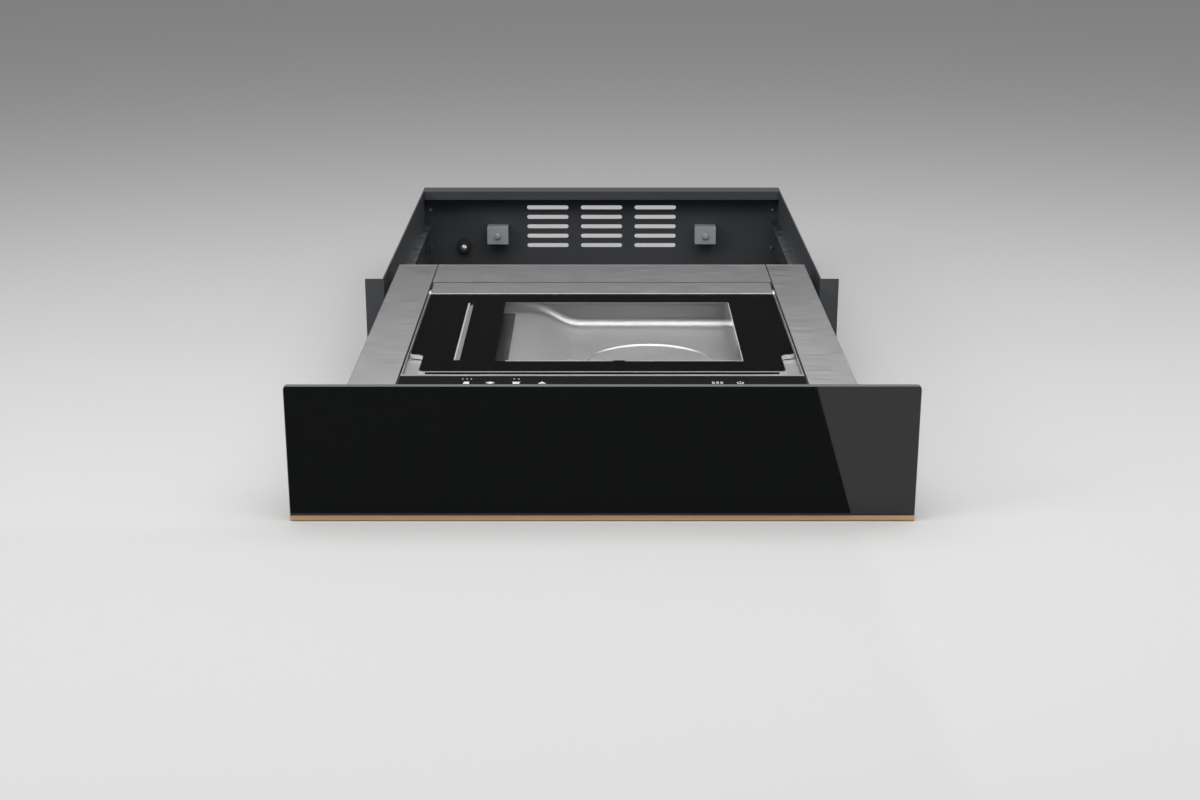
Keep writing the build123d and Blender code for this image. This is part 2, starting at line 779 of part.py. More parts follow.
# Places of the seal bar and its lift cylinders
bar_x = (seal_bar_x - seal_bar_width / 2, seal_bar_x + seal_bar_width / 2)
bar_y = (middle(chamber_y) - seal_bar_length / 2, middle(chamber_y) + seal_bar_length / 2)
bar_z = (cradle_seat_z + running_gap, cradle_seat_z + running_gap + seal_bar_height)
bar_top = bar_z[1] + seal_band_thickness
piston_y = [middle(chamber_y) - lift_cylinder_spacing / 2, middle(chamber_y) + lift_cylinder_spacing / 2]
seat_under = cradle_seat_z - chamber_sheet
cylinder_base = seat_under - lift_cylinder_length
port_z = cradle_seat_z + chamber_sheet
slot_x = grown(bar_x, seal_bar_clearance)
slot_y = grown(bar_y, seal_bar_clearance)
cradle_x = (slot_x[0] - cradle_side_wall, cradle_right)
cradle_y = grown(bar_y, seal_bar_end_margin)

# Chamber basin: a pressed steel bowl with a ramp up to the seal bar's platform on its left,
# a seat for the bar's cradle, a round bead in its floor, a shelf for the gasket and a flange under the deck


def basin_section(grow):
    """Front outline of the bowl: flat floor, a smooth ramp and the raised platform."""
    left = chamber_x[0] - grow
    right = chamber_x[1] + grow
    low = chamber_floor - grow
    high = platform_z - grow
    with BuildSketch(Plane.XZ.offset(-(chamber_y[1] + grow))) as section:
        with BuildLine():
            Line((right, low), (ramp_start, low))
            Spline((ramp_start, low), (ramp_end, high), tangents=((-1, 0), (-1, 0)))
            Line((ramp_end, high), (left, high))
            Line((left, high), (left, shelf_z))
            Line((left, shelf_z), (right, shelf_z))
            Line((right, shelf_z), (right, low))
        make_face()
    return section.sketch


def bowl(grow):
    """The bowl's volume with round corners and a rounded floor edge, outside or inside."""
    with BuildPart(mode=Mode.PRIVATE) as volume:
        extrude(basin_section(grow), amount=span(chamber_y) + 2 * grow)
        upright = volume.edges().filter_by(Axis.Z)
        fillet(upright, chamber_corner_radius + grow)
        floor_edges = volume.edges().filter_by(lambda edge: edge.bounding_box().max.Z < shelf_z - 1
                                               and edge.center().Z < platform_z + 0.5)
        floor_edges = [edge for edge in floor_edges if not edge.is_interior]
        fillet(floor_edges, chamber_floor_radius + grow)
    return volume.part


with BuildPart() as chamber_basin:
    add(bowl(chamber_sheet))
    block(grown(cradle_x, cradle_seat_gap + chamber_sheet), grown(cradle_y, cradle_seat_gap + chamber_sheet),
          (seat_under, platform_z))
    shelf_grow = opening_grow + chamber_sheet
    rounded_slab(grown(chamber_x, shelf_grow), grown(chamber_y, shelf_grow),
                 (shelf_z - chamber_sheet, chassis_top), chamber_corner_radius + opening_grow)
    rounded_slab(grown(chamber_x, opening_grow + basin_flange),
                 (chamber_y[0] - opening_grow - basin_flange, chamber_y[1] + opening_grow + chamber_sheet),
                 (chassis_top - chamber_sheet, chassis_top), chamber_corner_radius)
    rounded_slab(grown(chamber_x, opening_grow), grown(chamber_y, opening_grow), (shelf_z, deck_z),
                 chamber_corner_radius + opening_grow, Mode.SUBTRACT)
    add(bowl(0), mode=Mode.SUBTRACT)
    block(grown(cradle_x, cradle_seat_gap), grown(cradle_y, cradle_seat_gap),
          (cradle_seat_z, platform_z + overcut), Mode.SUBTRACT)
    with BuildSketch(Plane(origin=(ring_x, behind(ring_behind_front), chamber_floor),
                           x_dir=(1, 0, 0), z_dir=(0, -1, 0))):
        with Locations((ring_radius, ring_rise - ring_bead_radius)):
            Circle(ring_bead_radius)
        with Locations((ring_radius, -chamber_sheet / 2 - ring_bead_radius)):
            Rectangle(3 * ring_bead_radius, 2 * ring_bead_radius, mode=Mode.SUBTRACT)
    revolve(axis=Axis((ring_x, behind(ring_behind_front), 0), (0, 0, 1)))
    for y in piston_y:
        bar(piston_rod_radius + shaft_clearance, (seal_bar_x, y, cradle_seat_z - 3 * chamber_sheet),
            (0, 0, 1), 6 * chamber_sheet, Mode.SUBTRACT)
    bar(nozzle_radius, (valve_x, chamber_y[0] - 2 * chamber_sheet, port_z), (0, 1, 0),
        4 * chamber_sheet, Mode.SUBTRACT)
keep(chamber_basin.part, "chamber_basin")

# Rubber gasket on the shelf round the chamber
with BuildPart() as chamber_gasket:
    gasket_z = (shelf_z, lid_bottom - gasket_clearance)
    rounded_slab(grown(chamber_x, gasket_inset + gasket_width), grown(chamber_y, gasket_inset + gasket_width),
                 gasket_z, chamber_corner_radius + gasket_inset + gasket_width)
    fillet(chamber_gasket.edges().group_by(Axis.Z)[-1], gasket_width / 4)
    rounded_slab(grown(chamber_x, gasket_inset), grown(chamber_y, gasket_inset),
                 (shelf_z - overcut, deck_z + overcut), chamber_corner_radius + gasket_inset, Mode.SUBTRACT)
keep(chamber_gasket.part, "chamber_gasket")

# Seal bar: plastic cradle in its seat, the lifting bar, its heated band and its pistons
with BuildPart() as seal_bar_cradle:
    block(cradle_x, cradle_y, (cradle_seat_z, cradle_seat_z + cradle_height))
    chamfer(seal_bar_cradle.edges().group_by(Axis.Z)[-1], cradle_chamfer)
    chamfer(seal_bar_cradle.edges().group_by(Axis.Z)[0], cradle_chamfer)
    block(slot_x, slot_y, (cradle_seat_z - overcut, cradle_seat_z + cradle_height + overcut), Mode.SUBTRACT)
keep(seal_bar_cradle.part, "seal_bar_cradle")

with BuildPart() as seal_bar:
    block(bar_x, bar_y, bar_z)
    chamfer(seal_bar.edges().filter_by(Axis.Y).group_by(Axis.Z)[-1], seal_bar_chamfer)
keep(seal_bar.part, "seal_bar")

with BuildPart() as seal_band:
    block(grown(bar_x, -seal_bar_width / 4), bar_y, (bar_z[1], bar_top))
keep(seal_band.part, "seal_band")

with BuildPart() as seal_bar_pistons:
    for y in piston_y:
        piston_base = cylinder_base + lift_cylinder_wall + 2 * running_gap
        bar(piston_radius, (seal_bar_x, y, piston_base), (0, 0, 1), piston_height)
        bar(piston_rod_radius, (seal_bar_x, y, piston_base), (0, 0, 1), bar_z[0] - piston_base)
keep(seal_bar_pistons.part, "seal_bar_pistons")

with BuildPart() as seal_lift_cylinders:
    for y in piston_y:
        bar(piston_radius + lift_cylinder_wall, (seal_bar_x, y, cylinder_base), (0, 0, 1),
            lift_cylinder_length)
        bar(piston_radius + shaft_clearance, (seal_bar_x, y, cylinder_base + lift_cylinder_wall),
            (0, 0, 1), lift_cylinder_length - 2 * lift_cylinder_wall, Mode.SUBTRACT)
        bar(piston_rod_radius + shaft_clearance, (seal_bar_x, y, cylinder_base + lift_cylinder_wall),
            (0, 0, 1), lift_cylinder_length, Mode.SUBTRACT)
keep(seal_lift_cylinders.part, "seal_lift_cylinders")

# Lid glass, with its two front corners cut away as finger notches
lid_x = both_sides(lid_half_width)
lid_y = (behind(lid_front), behind(lid_front + lid_length))
with BuildPart() as lid_glass:
    with BuildSketch(Plane.XY.offset(lid_bottom)) as lid_outline:
        with Locations((0, middle(lid_y))):
            Rectangle(span(lid_x), span(lid_y))
        with Locations(*[(sign * (lid_half_width - notch_width / 2), lid_y[0] + notch_length / 2)
                         for sign in (-1, 1)]):
            Rectangle(notch_width, notch_length, mode=Mode.SUBTRACT)
        fillet(lid_outline.vertices().filter_by_position(Axis.Y, lid_y[0] - 1, lid_y[1] - 1),
               notch_radius)
    extrude(amount=lid_glass_thickness)
    chamfer(lid_glass.faces().sort_by(Axis.Z)[-1].edges(), lid_edge_chamfer)
keep(lid_glass.part, "lid_glass")

# Pressure pane bonded under the lid glass, just inside the chamber's walls
with BuildPart() as lid_pane:
    rounded_slab(grown(chamber_x, -pane_clearance), grown(chamber_y, -pane_clearance),
                 (pane_bottom, lid_bottom), chamber_corner_radius - pane_clearance)
keep(lid_pane.part, "lid_pane")

# Counter bar over the seal bar: a metal holder and a silicone pad
holder_z = (pane_bottom - counter_holder_thickness, pane_bottom)
with BuildPart() as counter_bar:
    block((seal_bar_x - counter_bar_width / 2, seal_bar_x + counter_bar_width / 2), bar_y, holder_z)
keep(counter_bar.part, "counter_bar")

with BuildPart() as counter_pad:
    block((seal_bar_x - counter_pad_width / 2, seal_bar_x + counter_pad_width / 2), bar_y,
          (bar_top + seal_bar_travel + contact_gap, holder_z[0]))
keep(counter_pad.part, "counter_pad")

# Lid hinge: a folded rail across the back of the lid, with end plates that carry the pins
pivot_y = behind(pivot_behind_front)
rail_y = (lid_y[1] + rail_gap, lid_y[1] + rail_gap + rail_length)
rail_under = top_z - rail_sheet
jaw_bottom = lid_bottom - rail_jaw_thickness
pin_far = side_trim_inner - bracket_gap
with BuildPart() as lid_hinge_rail:
    block(both_sides(rail_half_width), rail_y, (rail_under, top_z))
    fillet(lid_hinge_rail.edges().filter_by(Axis.X).group_by(Axis.Z)[-1], rail_bead_radius)
    block(both_sides(rail_half_width), (rail_y[0], rail_y[0] + rail_web), (jaw_bottom, rail_under))
    block(both_sides(rail_half_width), (rail_y[0] - rail_jaw_length, rail_y[0] + rail_web),
          (jaw_bottom, lid_bottom))
    block(both_sides(rail_half_width), (rail_y[1] - rail_sheet, rail_y[1]),
          (rail_under - rail_skirt, rail_under))
    for sign in (-1, 1):
        for far in (rail_half_width, rail_half_width - pin_length + 2 * rail_end_plate):
            block(on_side(sign, far - rail_end_plate, far),
                  (pivot_y - 3 * pin_radius, pivot_y + 3 * pin_radius),
                  (pivot_z - 2 * pin_radius, rail_under))
            bar(pin_radius, (sign * (far + overcut), pivot_y, pivot_z), (-sign, 0, 0),
                rail_end_plate + 2 * overcut, Mode.SUBTRACT)
keep(lid_hinge_rail.part, "lid_hinge_rail")

with BuildPart() as lid_hinge_pins:
    for sign in (-1, 1):
        bar(pin_radius, (sign * pin_far, pivot_y, pivot_z), (-sign, 0, 0), pin_length)
keep(lid_hinge_pins.part, "lid_hinge_pins")

# Trough under the hinge and the two brackets that the pins turn in
trough_x = both_sides(pin_far)
with BuildPart() as hinge_trough:
    block(trough_x, (trough_y[0], trough_y[0] + trough_sheet), (trough_floor - trough_sheet, deck_z))
    block(trough_x, (trough_y[0], trough_y[1] + trough_sheet), (trough_floor - trough_sheet, trough_floor))
    block(trough_x, (trough_y[1], trough_y[1] + trough_sheet),
          (trough_floor - trough_sheet, top_z - side_trim_sheet))
keep(hinge_trough.part, "hinge_trough")

with BuildPart() as hinge_brackets:
    for sign in (-1, 1):
        bracket_y = grown(trough_y, -bracket_end_gap)
        block(on_side(sign, pin_far - bracket_thickness, pin_far), bracket_y, (trough_floor, pivot_z))
        bar(bracket_ear_radius, (sign * pin_far, pivot_y, pivot_z), (-sign, 0, 0), bracket_thickness)
        block(on_side(sign, pin_far - bracket_foot, pin_far), bracket_y,
              (trough_floor, trough_floor + bracket_thickness))
        bar(pin_radius + pin_clearance, (sign * (pin_far + overcut), pivot_y, pivot_z), (-sign, 0, 0),
            bracket_thickness + 2 * overcut, Mode.SUBTRACT)
keep(hinge_brackets.part, "hinge_brackets")


def biarc(start, start_tangent, end, end_tangent):
    """Two arcs that join two points of a curve and keep its direction at both."""
    chord = end - start
    both = start_tangent + end_tangent
    slope = chord.dot(both)
    spread = 2 * (start_tangent.dot(end_tangent) - 1)
    reach = (slope - sqrt(slope * slope - spread * chord.dot(chord))) / spread
    before = start + start_tangent * reach
    after = end - end_tangent * reach
    joint = (before + after) * 0.5
    TangentArc(start, joint, tangent=start_tangent)
    TangentArc(joint, end, tangent=after - before)


def spring_point(sign, turn):
    """Place on the spring's coil after this many turns, and the coil's direction there."""
    angle = 2 * pi * turn
    rise = spring_pitch / (2 * pi)
    place = Vector(sign * (spring_start + spring_pitch * turn),
                   pivot_y - spring_mean_radius * cos(angle),
                   pivot_z + spring_mean_radius * sin(angle))
    direction = Vector(sign * rise, spring_mean_radius * sin(angle), spring_mean_radius * cos(angle))
    return place, direction.normalized()


# Counterbalance springs: coils round the pins whose lower legs stand on the brackets' feet
spring_start = pin_far - bracket_foot + spring_pitch + 2 * spring_wire_radius
spring_leg_foot = trough_floor + bracket_thickness + running_gap
with BuildPart() as hinge_springs:
    for sign in (-1, 1):
        with BuildLine() as coil:
            first = spring_point(sign, 0)[0]
            Line((first.X, first.Y, spring_leg_foot), first)
            for quarter in range(4 * spring_turns):
                here, here_direction = spring_point(sign, quarter / 4)
                there, there_direction = spring_point(sign, (quarter + 1) / 4)
                biarc(here, here_direction, there, there_direction)
        with BuildSketch(Plane(origin=(first.X, first.Y, spring_leg_foot), z_dir=(0, 0, 1))):
            Circle(spring_wire_radius)
        sweep(path=coil.line)
keep(hinge_springs.part, "hinge_springs")

# The spring's least gap to itself, measured between points over half a turn apart, leg and all
steps_in_turn = 48
leg_count = int(first.Z - spring_leg_foot)
spring_line = [Vector(first.X, first.Y, first.Z - drop) for drop in range(leg_count, 0, -1)]
spring_line += [spring_point(1, step / steps_in_turn)[0] for step in range(steps_in_turn * spring_turns + 1)]
spring_gap = min((spring_line[late] - spring_line[early]).length
                 for early in range(len(spring_line))
                 for late in range(max(early, leg_count) + steps_in_turn // 2, len(spring_line)))
print("spring's least gap to itself", round(spring_gap - 2 * spring_wire_radius, 2))

# Rear cover over the pump bay
with BuildPart() as rear_cover:
    block(both_sides(side_trim_inner - control_side_gap), (trough_y[1], drawer_rear_y),
          (top_z - side_trim_sheet, top_z))
    block(both_sides(side_trim_inner - control_side_gap), (drawer_rear_y - chassis_sheet, drawer_rear_y),
          (chassis_top, top_z))
keep(rear_cover.part, "rear_cover")

# Vacuum pump: a block with an eccentric bore, its rotor, vanes and the motor on one shaft
pump_x = (pump_left, pump_left + pump_length)
bore_x = grown(pump_x, -pump_wall)
rotor_x = grown(bore_x, -rotor_end_clearance)
motor_x = (pump_x[1], pump_x[1] + motor_length)
shaft_end = motor_x[1] + cowl_length - 3 * cowl_wall
bore_z = pump_axis_height + pump_bore_offset
pump_foot = pump_axis_height - pump_block_half
with BuildPart() as pump_body:
    block(pump_x, (pump_y - pump_block_half, pump_y + pump_block_half),
          (pump_foot, pump_axis_height + pump_block_half))
    chamfer(pump_body.edges().filter_by(Axis.X).group_by(Axis.Z)[-1], pump_chamfer)
    bar(pump_bore_radius, (bore_x[0], pump_y, bore_z), (1, 0, 0), span(bore_x), Mode.SUBTRACT)
    bar(shaft_radius + shaft_clearance, (pump_x[0] + overcut, pump_y, pump_axis_height), (1, 0, 0),
        pump_length, Mode.SUBTRACT)
    bar(nozzle_radius - shaft_clearance, (middle(pump_x), pump_y - pump_block_half, hose_run_height),
        (0, -1, 0), nozzle_length)
    for y in mount_y:
        bar(mount_stud_radius, (mount_x[0], y, pump_foot - overcut), (0, 0, 1),
            mount_stud_hole + overcut, Mode.SUBTRACT)
keep(pump_body.part, "pump_body")

with BuildPart() as pump_rotor:
    with BuildSketch(Plane.YZ.offset(rotor_x[0])):
        with Locations((pump_y, pump_axis_height)):
            Circle(rotor_radius)
            with PolarLocations(rotor_radius - vane_depth / 2, vane_count):
                Rectangle(vane_depth + 2 * vane_root_gap, vane_thickness + 2 * vane_side_gap,
                          mode=Mode.SUBTRACT)
    extrude(amount=span(rotor_x))
    shaft_start = pump_x[0] + 2 * overcut
    bar(shaft_radius, (shaft_start, pump_y, pump_axis_height), (1, 0, 0), shaft_end - shaft_start)
    armature_x = grown(motor_x, -2 * motor_end_wall)
    bar(armature_radius, (armature_x[0], pump_y, pump_axis_height), (1, 0, 0), span(armature_x))
keep(pump_rotor.part, "pump_rotor")

with BuildPart() as pump_vanes:
    with BuildSketch(Plane.YZ.offset(rotor_x[0])):
        with Locations((pump_y, pump_axis_height)):
            with PolarLocations(rotor_radius + running_gap / 2 - vane_depth / 2, vane_count):
                Rectangle(vane_depth, vane_thickness)
    extrude(amount=span(rotor_x))
keep(pump_vanes.part, "pump_vanes")

with BuildPart() as pump_motor:
    bar(motor_radius, (motor_x[0], pump_y, pump_axis_height), (1, 0, 0), motor_length + cowl_length)
    block((mount_x[1] - motor_foot_length / 2, mount_x[1] + motor_foot_length / 2),
          (pump_y - pump_block_half, pump_y + pump_block_half), (pump_foot, pump_foot + motor_foot_height))
    bar(motor_bore_radius, (motor_x[0] + motor_end_wall, pump_y, pump_axis_height), (1, 0, 0),
        motor_length - 2 * motor_end_wall, Mode.SUBTRACT)
    bar(shaft_radius + shaft_clearance, (motor_x[0] - overcut, pump_y, pump_axis_height), (1, 0, 0),
        motor_length + 2 * overcut, Mode.SUBTRACT)
    bar(motor_radius - cowl_wall, (motor_x[1], pump_y, pump_axis_height), (1, 0, 0),
        cowl_length - cowl_wall, Mode.SUBTRACT)
    with BuildSketch(Plane.YZ.offset(motor_x[1] + cowl_length)):
        with Locations((pump_y, pump_axis_height)):
            with PolarLocations(motor_radius / 2, cowl_slot_count):
                SlotOverall(cowl_slot_length, cowl_slot_width)
    extrude(amount=-2 * cowl_wall, mode=Mode.SUBTRACT)
    for y in mount_y:
        bar(mount_stud_radius, (mount_x[1], y, pump_foot - overcut), (0, 0, 1),
            mount_stud_hole + overcut, Mode.SUBTRACT)
keep(pump_motor.part, "pump_motor")

with BuildPart() as pump_fan:
    fan_start = motor_x[1] + pump_fan_gap
    bar(pump_fan_hub_radius, (fan_start, pump_y, pump_axis_height), (1, 0, 0), pump_fan_width)
    with BuildSketch(Plane.YZ.offset(fan_start)):
        with Locations((pump_y, pump_axis_height)):
            with PolarLocations((pump_fan_radius + shaft_radius) / 2, pump_fan_blades):
                Rectangle(pump_fan_radius - shaft_radius, pump_fan_blade_thickness)
    extrude(amount=pump_fan_width)
    bar(shaft_radius, (fan_start - overcut, pump_y, pump_axis_height), (1, 0, 0),
        pump_fan_width + 2 * overcut, Mode.SUBTRACT)
keep(pump_fan.part, "pump_fan")

# Rubber mounts between the chassis and the pump
with BuildPart() as pump_mounts:
    for x in mount_x:
        for y in mount_y:
            bar(mount_radius, (x, y, chassis_floor), (0, 0, 1), pump_foot - chassis_floor)
            bar(mount_stud_radius - shaft_clearance, (x, y, pump_foot), (0, 0, 1), mount_stud_length)
keep(pump_mounts.part, "pump_mounts")

# Valve block on the chamber's front wall, with its coil and vent plunger
valve_y = (chamber_y[0] - chamber_sheet - valve_depth, chamber_y[0] - chamber_sheet)
valve_z = (port_z + valve_port_drop - valve_height, port_z + valve_port_drop)
plunger_seat = valve_y[0] + plunger_seat_depth
with BuildPart() as valve_block:
    block((valve_x - valve_width / 2, valve_x + valve_width / 2), valve_y, valve_z)
    bar(nozzle_radius, (valve_x, valve_y[1] + overcut, port_z), (0, -1, 0), valve_depth / 2 + overcut,
        Mode.SUBTRACT)
    bar(coil_radius, (valve_x, valve_y[0], port_z), (0, -1, 0), coil_length)
    bar(plunger_radius + shaft_clearance, (valve_x, plunger_seat, port_z), (0, -1, 0),
        plunger_seat_depth + coil_length - coil_end_wall, Mode.SUBTRACT)
    bar(nozzle_radius - shaft_clearance, (valve_x, middle(valve_y), valve_z[0]), (0, 0, -1), nozzle_length)
keep(valve_block.part, "valve_block")

with BuildPart() as valve_plunger:
    plunger_length = plunger_seat_depth + coil_length - coil_end_wall - plunger_travel - running_gap
    bar(plunger_radius, (valve_x, plunger_seat, port_z), (0, -1, 0), plunger_length)
keep(valve_plunger.part, "valve_plunger")

# Vacuum hose from the valve block, under the chamber, to the pump
hose_points = [
    (valve_x, middle(valve_y), valve_z[0]),
    (valve_x, middle(valve_y), hose_run_height),
    (valve_x, chamber_y[0] + hose_first_turn, hose_run_height),
    (middle(pump_x), chamber_y[0] + hose_last_turn, hose_run_height),
    (middle(pump_x), pump_y - pump_block_half, hose_run_height),
]
hose_radii = [hose_bend_radius, hose_sweep_radius, hose_sweep_radius]
with BuildPart() as vacuum_hose:
    with BuildLine() as hose_route:
        FilletPolyline(*hose_points, radius=hose_radii)
    with BuildSketch(Plane(origin=hose_points[0], z_dir=(0, 0, -1))):
        Circle(hose_radius)
        Circle(hose_radius - hose_wall, mode=Mode.SUBTRACT)
    sweep(path=hose_route.line)
keep(vacuum_hose.part, "vacuum_hose")
hose_section = pi * (hose_radius ** 2 - (hose_radius - hose_wall) ** 2)
hose_length = hose_route.wire().length
print("hose radii", hose_radii, "length", round(hose_length, 1),
      "volume over section times length", round(vacuum_hose.part.volume / hose_section / hose_length, 4))

# Seal transformer on the chassis floor
transformer_x_limits = (transformer_x - transformer_width / 2, transformer_x + transformer_width / 2)
transformer_y = (behind(transformer_behind_front) - transformer_length / 2,
                 behind(transformer_behind_front) + transformer_length / 2)
with BuildPart() as seal_transformer:
    block(transformer_x_limits, transformer_y,
          (chassis_floor, chassis_floor + transformer_core_height))
    rounded_slab(grown(transformer_x_limits, -transformer_coil_side_inset),
                 grown(transformer_y, -transformer_coil_end_inset),
                 (chassis_floor, chassis_floor + transformer_height), transformer_coil_radius)
keep(seal_transformer.part, "seal_transformer")

# Power board on its standoffs, with its taller components
board_x_limits = (board_x - board_width / 2, board_x + board_width / 2)
board_y = (behind(board_behind_front) - board_length / 2, behind(board_behind_front) + board_length / 2)
board_z = chassis_floor + board_standoff
board_top = board_z + board_thickness


def component(from_middle, from_front, size):
    """A box on the board, placed from the board's middle line and its front end."""
    with Locations((board_x + from_middle, board_y[0] + from_front, board_top)):
        Box(*size, align=(Align.CENTER, Align.CENTER, Align.MIN))


with BuildPart() as power_board:
    block(board_x_limits, board_y, (board_z, board_top))
    with Locations((board_x, middle(board_y), chassis_floor)):
        with GridLocations(board_width - 2 * standoff_inset, board_length - 2 * standoff_inset, 2, 2):
            Cylinder(standoff_radius, board_standoff, align=(Align.CENTER, Align.CENTER, Align.MIN))
    for place in capacitor_places:
        bar(capacitor_radius, (board_x + capacitor_x, board_y[0] + place, board_top), (0, 0, 1),
            capacitor_height)
    for place in relay_places:
        component(relay_x, place, relay_size)
    component(heat_sink_x, heat_sink_place, heat_sink_size)
    for index in range(heat_sink_fin_count):
        from_centre = heat_sink_fin_pitch * (index - (heat_sink_fin_count - 1) / 2)
        component(heat_sink_x + from_centre, heat_sink_place, heat_sink_fin_size)
    component(terminal_x, terminal_place, terminal_size)
    component(choke_x, choke_place, choke_size)
keep(power_board.part, "power_board")

# Lead from the power board up to the touch board
lead_x = touch_x[1] - 2 * lead_radius
lead_start = board_y[0] + terminal_place - terminal_size[1] / 2
lead_height = board_top + terminal_size[2] / 2
lead_points = [
    (lead_x, lead_start, lead_height),
    (lead_x, middle(touch_y), lead_height),
    (lead_x, middle(touch_y), deck_z - touch_board_thickness),
]
with BuildPart() as control_lead:
    with BuildLine() as lead_route:
        FilletPolyline(*lead_points, radius=lead_bend_radius)
    with BuildSketch(Plane(origin=lead_points[0], z_dir=(0, -1, 0))):
        Circle(lead_radius)
    sweep(path=lead_route.line)
keep(control_lead.part, "control_lead")
print("lead radius at its bend", lead_bend_radius)

# Cooling fan in the chassis's back wall
fan_y_limits = (drawer_rear_y - chassis_sheet - fan_depth, drawer_rear_y - chassis_sheet)
fan_hub_front = fan_y_limits[1] - fan_hub_depth
with BuildPart() as fan_frame:
    block((fan_x - fan_size / 2, fan_x + fan_size / 2), fan_y_limits,
          (fan_height - fan_size / 2, fan_height + fan_size / 2))
    fillet(fan_frame.edges().filter_by(Axis.Y), fan_corner_radius)
    bar(fan_bore_radius, (fan_x, fan_y_limits[0] - overcut, fan_height), (0, 1, 0),
        fan_depth + 2 * overcut, Mode.SUBTRACT)
    bar(fan_hub_radius, (fan_x, fan_hub_front, fan_height), (0, 1, 0), fan_hub_depth)
    spoke_half = fan_bore_radius + fan_tip_clearance
    for half_x, half_z in ((spoke_half, fan_spoke_width / 2), (fan_spoke_width / 2, spoke_half)):
        block((fan_x - half_x, fan_x + half_x), (fan_y_limits[1] - fan_spoke_depth, fan_y_limits[1]),
              (fan_height - half_z, fan_height + half_z))
    bar(fan_shaft_radius + shaft_clearance, (fan_x, fan_hub_front - overcut, fan_height), (0, 1, 0),
        fan_shaft_reach + overcut, Mode.SUBTRACT)
keep(fan_frame.part, "fan_frame")

with BuildPart() as fan_rotor:
    rotor_back = fan_hub_front - running_gap
    rotor_front = fan_y_limits[0] + fan_front_gap
    bar(fan_hub_radius, (fan_x, rotor_front, fan_height), (0, 1, 0), rotor_back - rotor_front)
    bar(fan_shaft_radius, (fan_x, rotor_front, fan_height), (0, 1, 0),
        rotor_back - rotor_front + fan_shaft_reach)
    blade_reach = fan_bore_radius - fan_tip_clearance - fan_hub_radius
    with Locations(Plane(origin=(fan_x, middle((rotor_front, rotor_back)), fan_height), z_dir=(0, 1, 0))):
        with PolarLocations(fan_hub_radius + blade_reach / 2 - fan_blade_root, fan_blade_count):
            Box(blade_reach, fan_blade_chord, fan_blade_thickness, rotation=(fan_blade_angle, 0, 0))
keep(fan_rotor.part, "fan_rotor")

# Lid switch under the deck and its plunger, just below the lid glass
switch_y = behind(switch_behind_front)
plunger_top = lid_bottom - contact_gap
plunger_base = chassis_top - switch_plunger_depth
with BuildPart() as lid_switch_body:
    block((switch_x - switch_body_width / 2, switch_x + switch_body_width / 2),
          (switch_y - switch_body_length / 2, switch_y + switch_body_length / 2),
          (chassis_top - switch_body_height, chassis_top))
    bar(switch_plunger_radius + shaft_clearance,
        (switch_x, switch_y, plunger_base - switch_travel - running_gap), (0, 0, 1),
        switch_body_height, Mode.SUBTRACT)
keep(lid_switch_body.part, "lid_switch_body")

with BuildPart() as lid_switch_plunger:
    bar(switch_plunger_radius, (switch_x, switch_y, plunger_base), (0, 0, 1), plunger_top - plunger_base)
    chamfer(lid_switch_plunger.edges().group_by(Axis.Z)[-1], switch_plunger_chamfer)
keep(lid_switch_plunger.part, "lid_switch_plunger")
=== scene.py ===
from math import radians

import bpy
import numpy as np
from mathutils.geometry import tessellate_polygon
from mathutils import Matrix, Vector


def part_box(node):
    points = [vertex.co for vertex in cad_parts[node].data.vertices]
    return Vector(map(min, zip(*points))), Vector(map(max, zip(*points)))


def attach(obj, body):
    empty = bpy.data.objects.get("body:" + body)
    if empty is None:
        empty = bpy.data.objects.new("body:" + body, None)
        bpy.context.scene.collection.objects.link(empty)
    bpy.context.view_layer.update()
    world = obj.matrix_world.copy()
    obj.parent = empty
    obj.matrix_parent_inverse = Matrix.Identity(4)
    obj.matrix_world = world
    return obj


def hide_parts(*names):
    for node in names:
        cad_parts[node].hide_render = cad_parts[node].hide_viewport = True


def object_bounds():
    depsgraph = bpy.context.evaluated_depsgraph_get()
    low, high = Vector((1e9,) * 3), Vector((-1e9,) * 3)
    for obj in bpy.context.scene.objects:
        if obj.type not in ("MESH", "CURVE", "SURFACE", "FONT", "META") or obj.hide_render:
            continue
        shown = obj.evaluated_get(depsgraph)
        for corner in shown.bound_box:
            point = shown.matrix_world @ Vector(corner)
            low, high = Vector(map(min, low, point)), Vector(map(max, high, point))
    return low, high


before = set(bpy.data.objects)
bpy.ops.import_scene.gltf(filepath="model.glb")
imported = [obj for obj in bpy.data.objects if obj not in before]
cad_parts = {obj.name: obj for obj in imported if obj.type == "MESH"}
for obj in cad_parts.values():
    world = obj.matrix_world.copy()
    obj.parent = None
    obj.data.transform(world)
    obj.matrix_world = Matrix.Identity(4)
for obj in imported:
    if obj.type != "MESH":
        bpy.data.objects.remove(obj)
cad_box = [list(corner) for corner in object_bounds()]

# The studio: a pale floor under the housing, a soft dome, large lamps overhead, before and beside it,
# and two dark flags that only show in gloss, one upright at the drawer's rear end and one on the floor
# before the glass front, as a photographer keeps black glass black.
scene = bpy.context.scene
scene.view_settings.view_transform = "Standard"
mm = 0.001
low = cad_box[0]


def put(tree, kind, sockets=None, **options):
    """Adds a node to a tree, sets its options, and sets or links its sockets."""
    node = tree.nodes.new(kind)
    for option, value in options.items():
        setattr(node, option, value)
    for socket, value in (sockets or {}).items():
        if isinstance(value, bpy.types.NodeSocket):
            tree.links.new(value, node.inputs[socket])
        else:
            node.inputs[socket].default_value = value
    return node


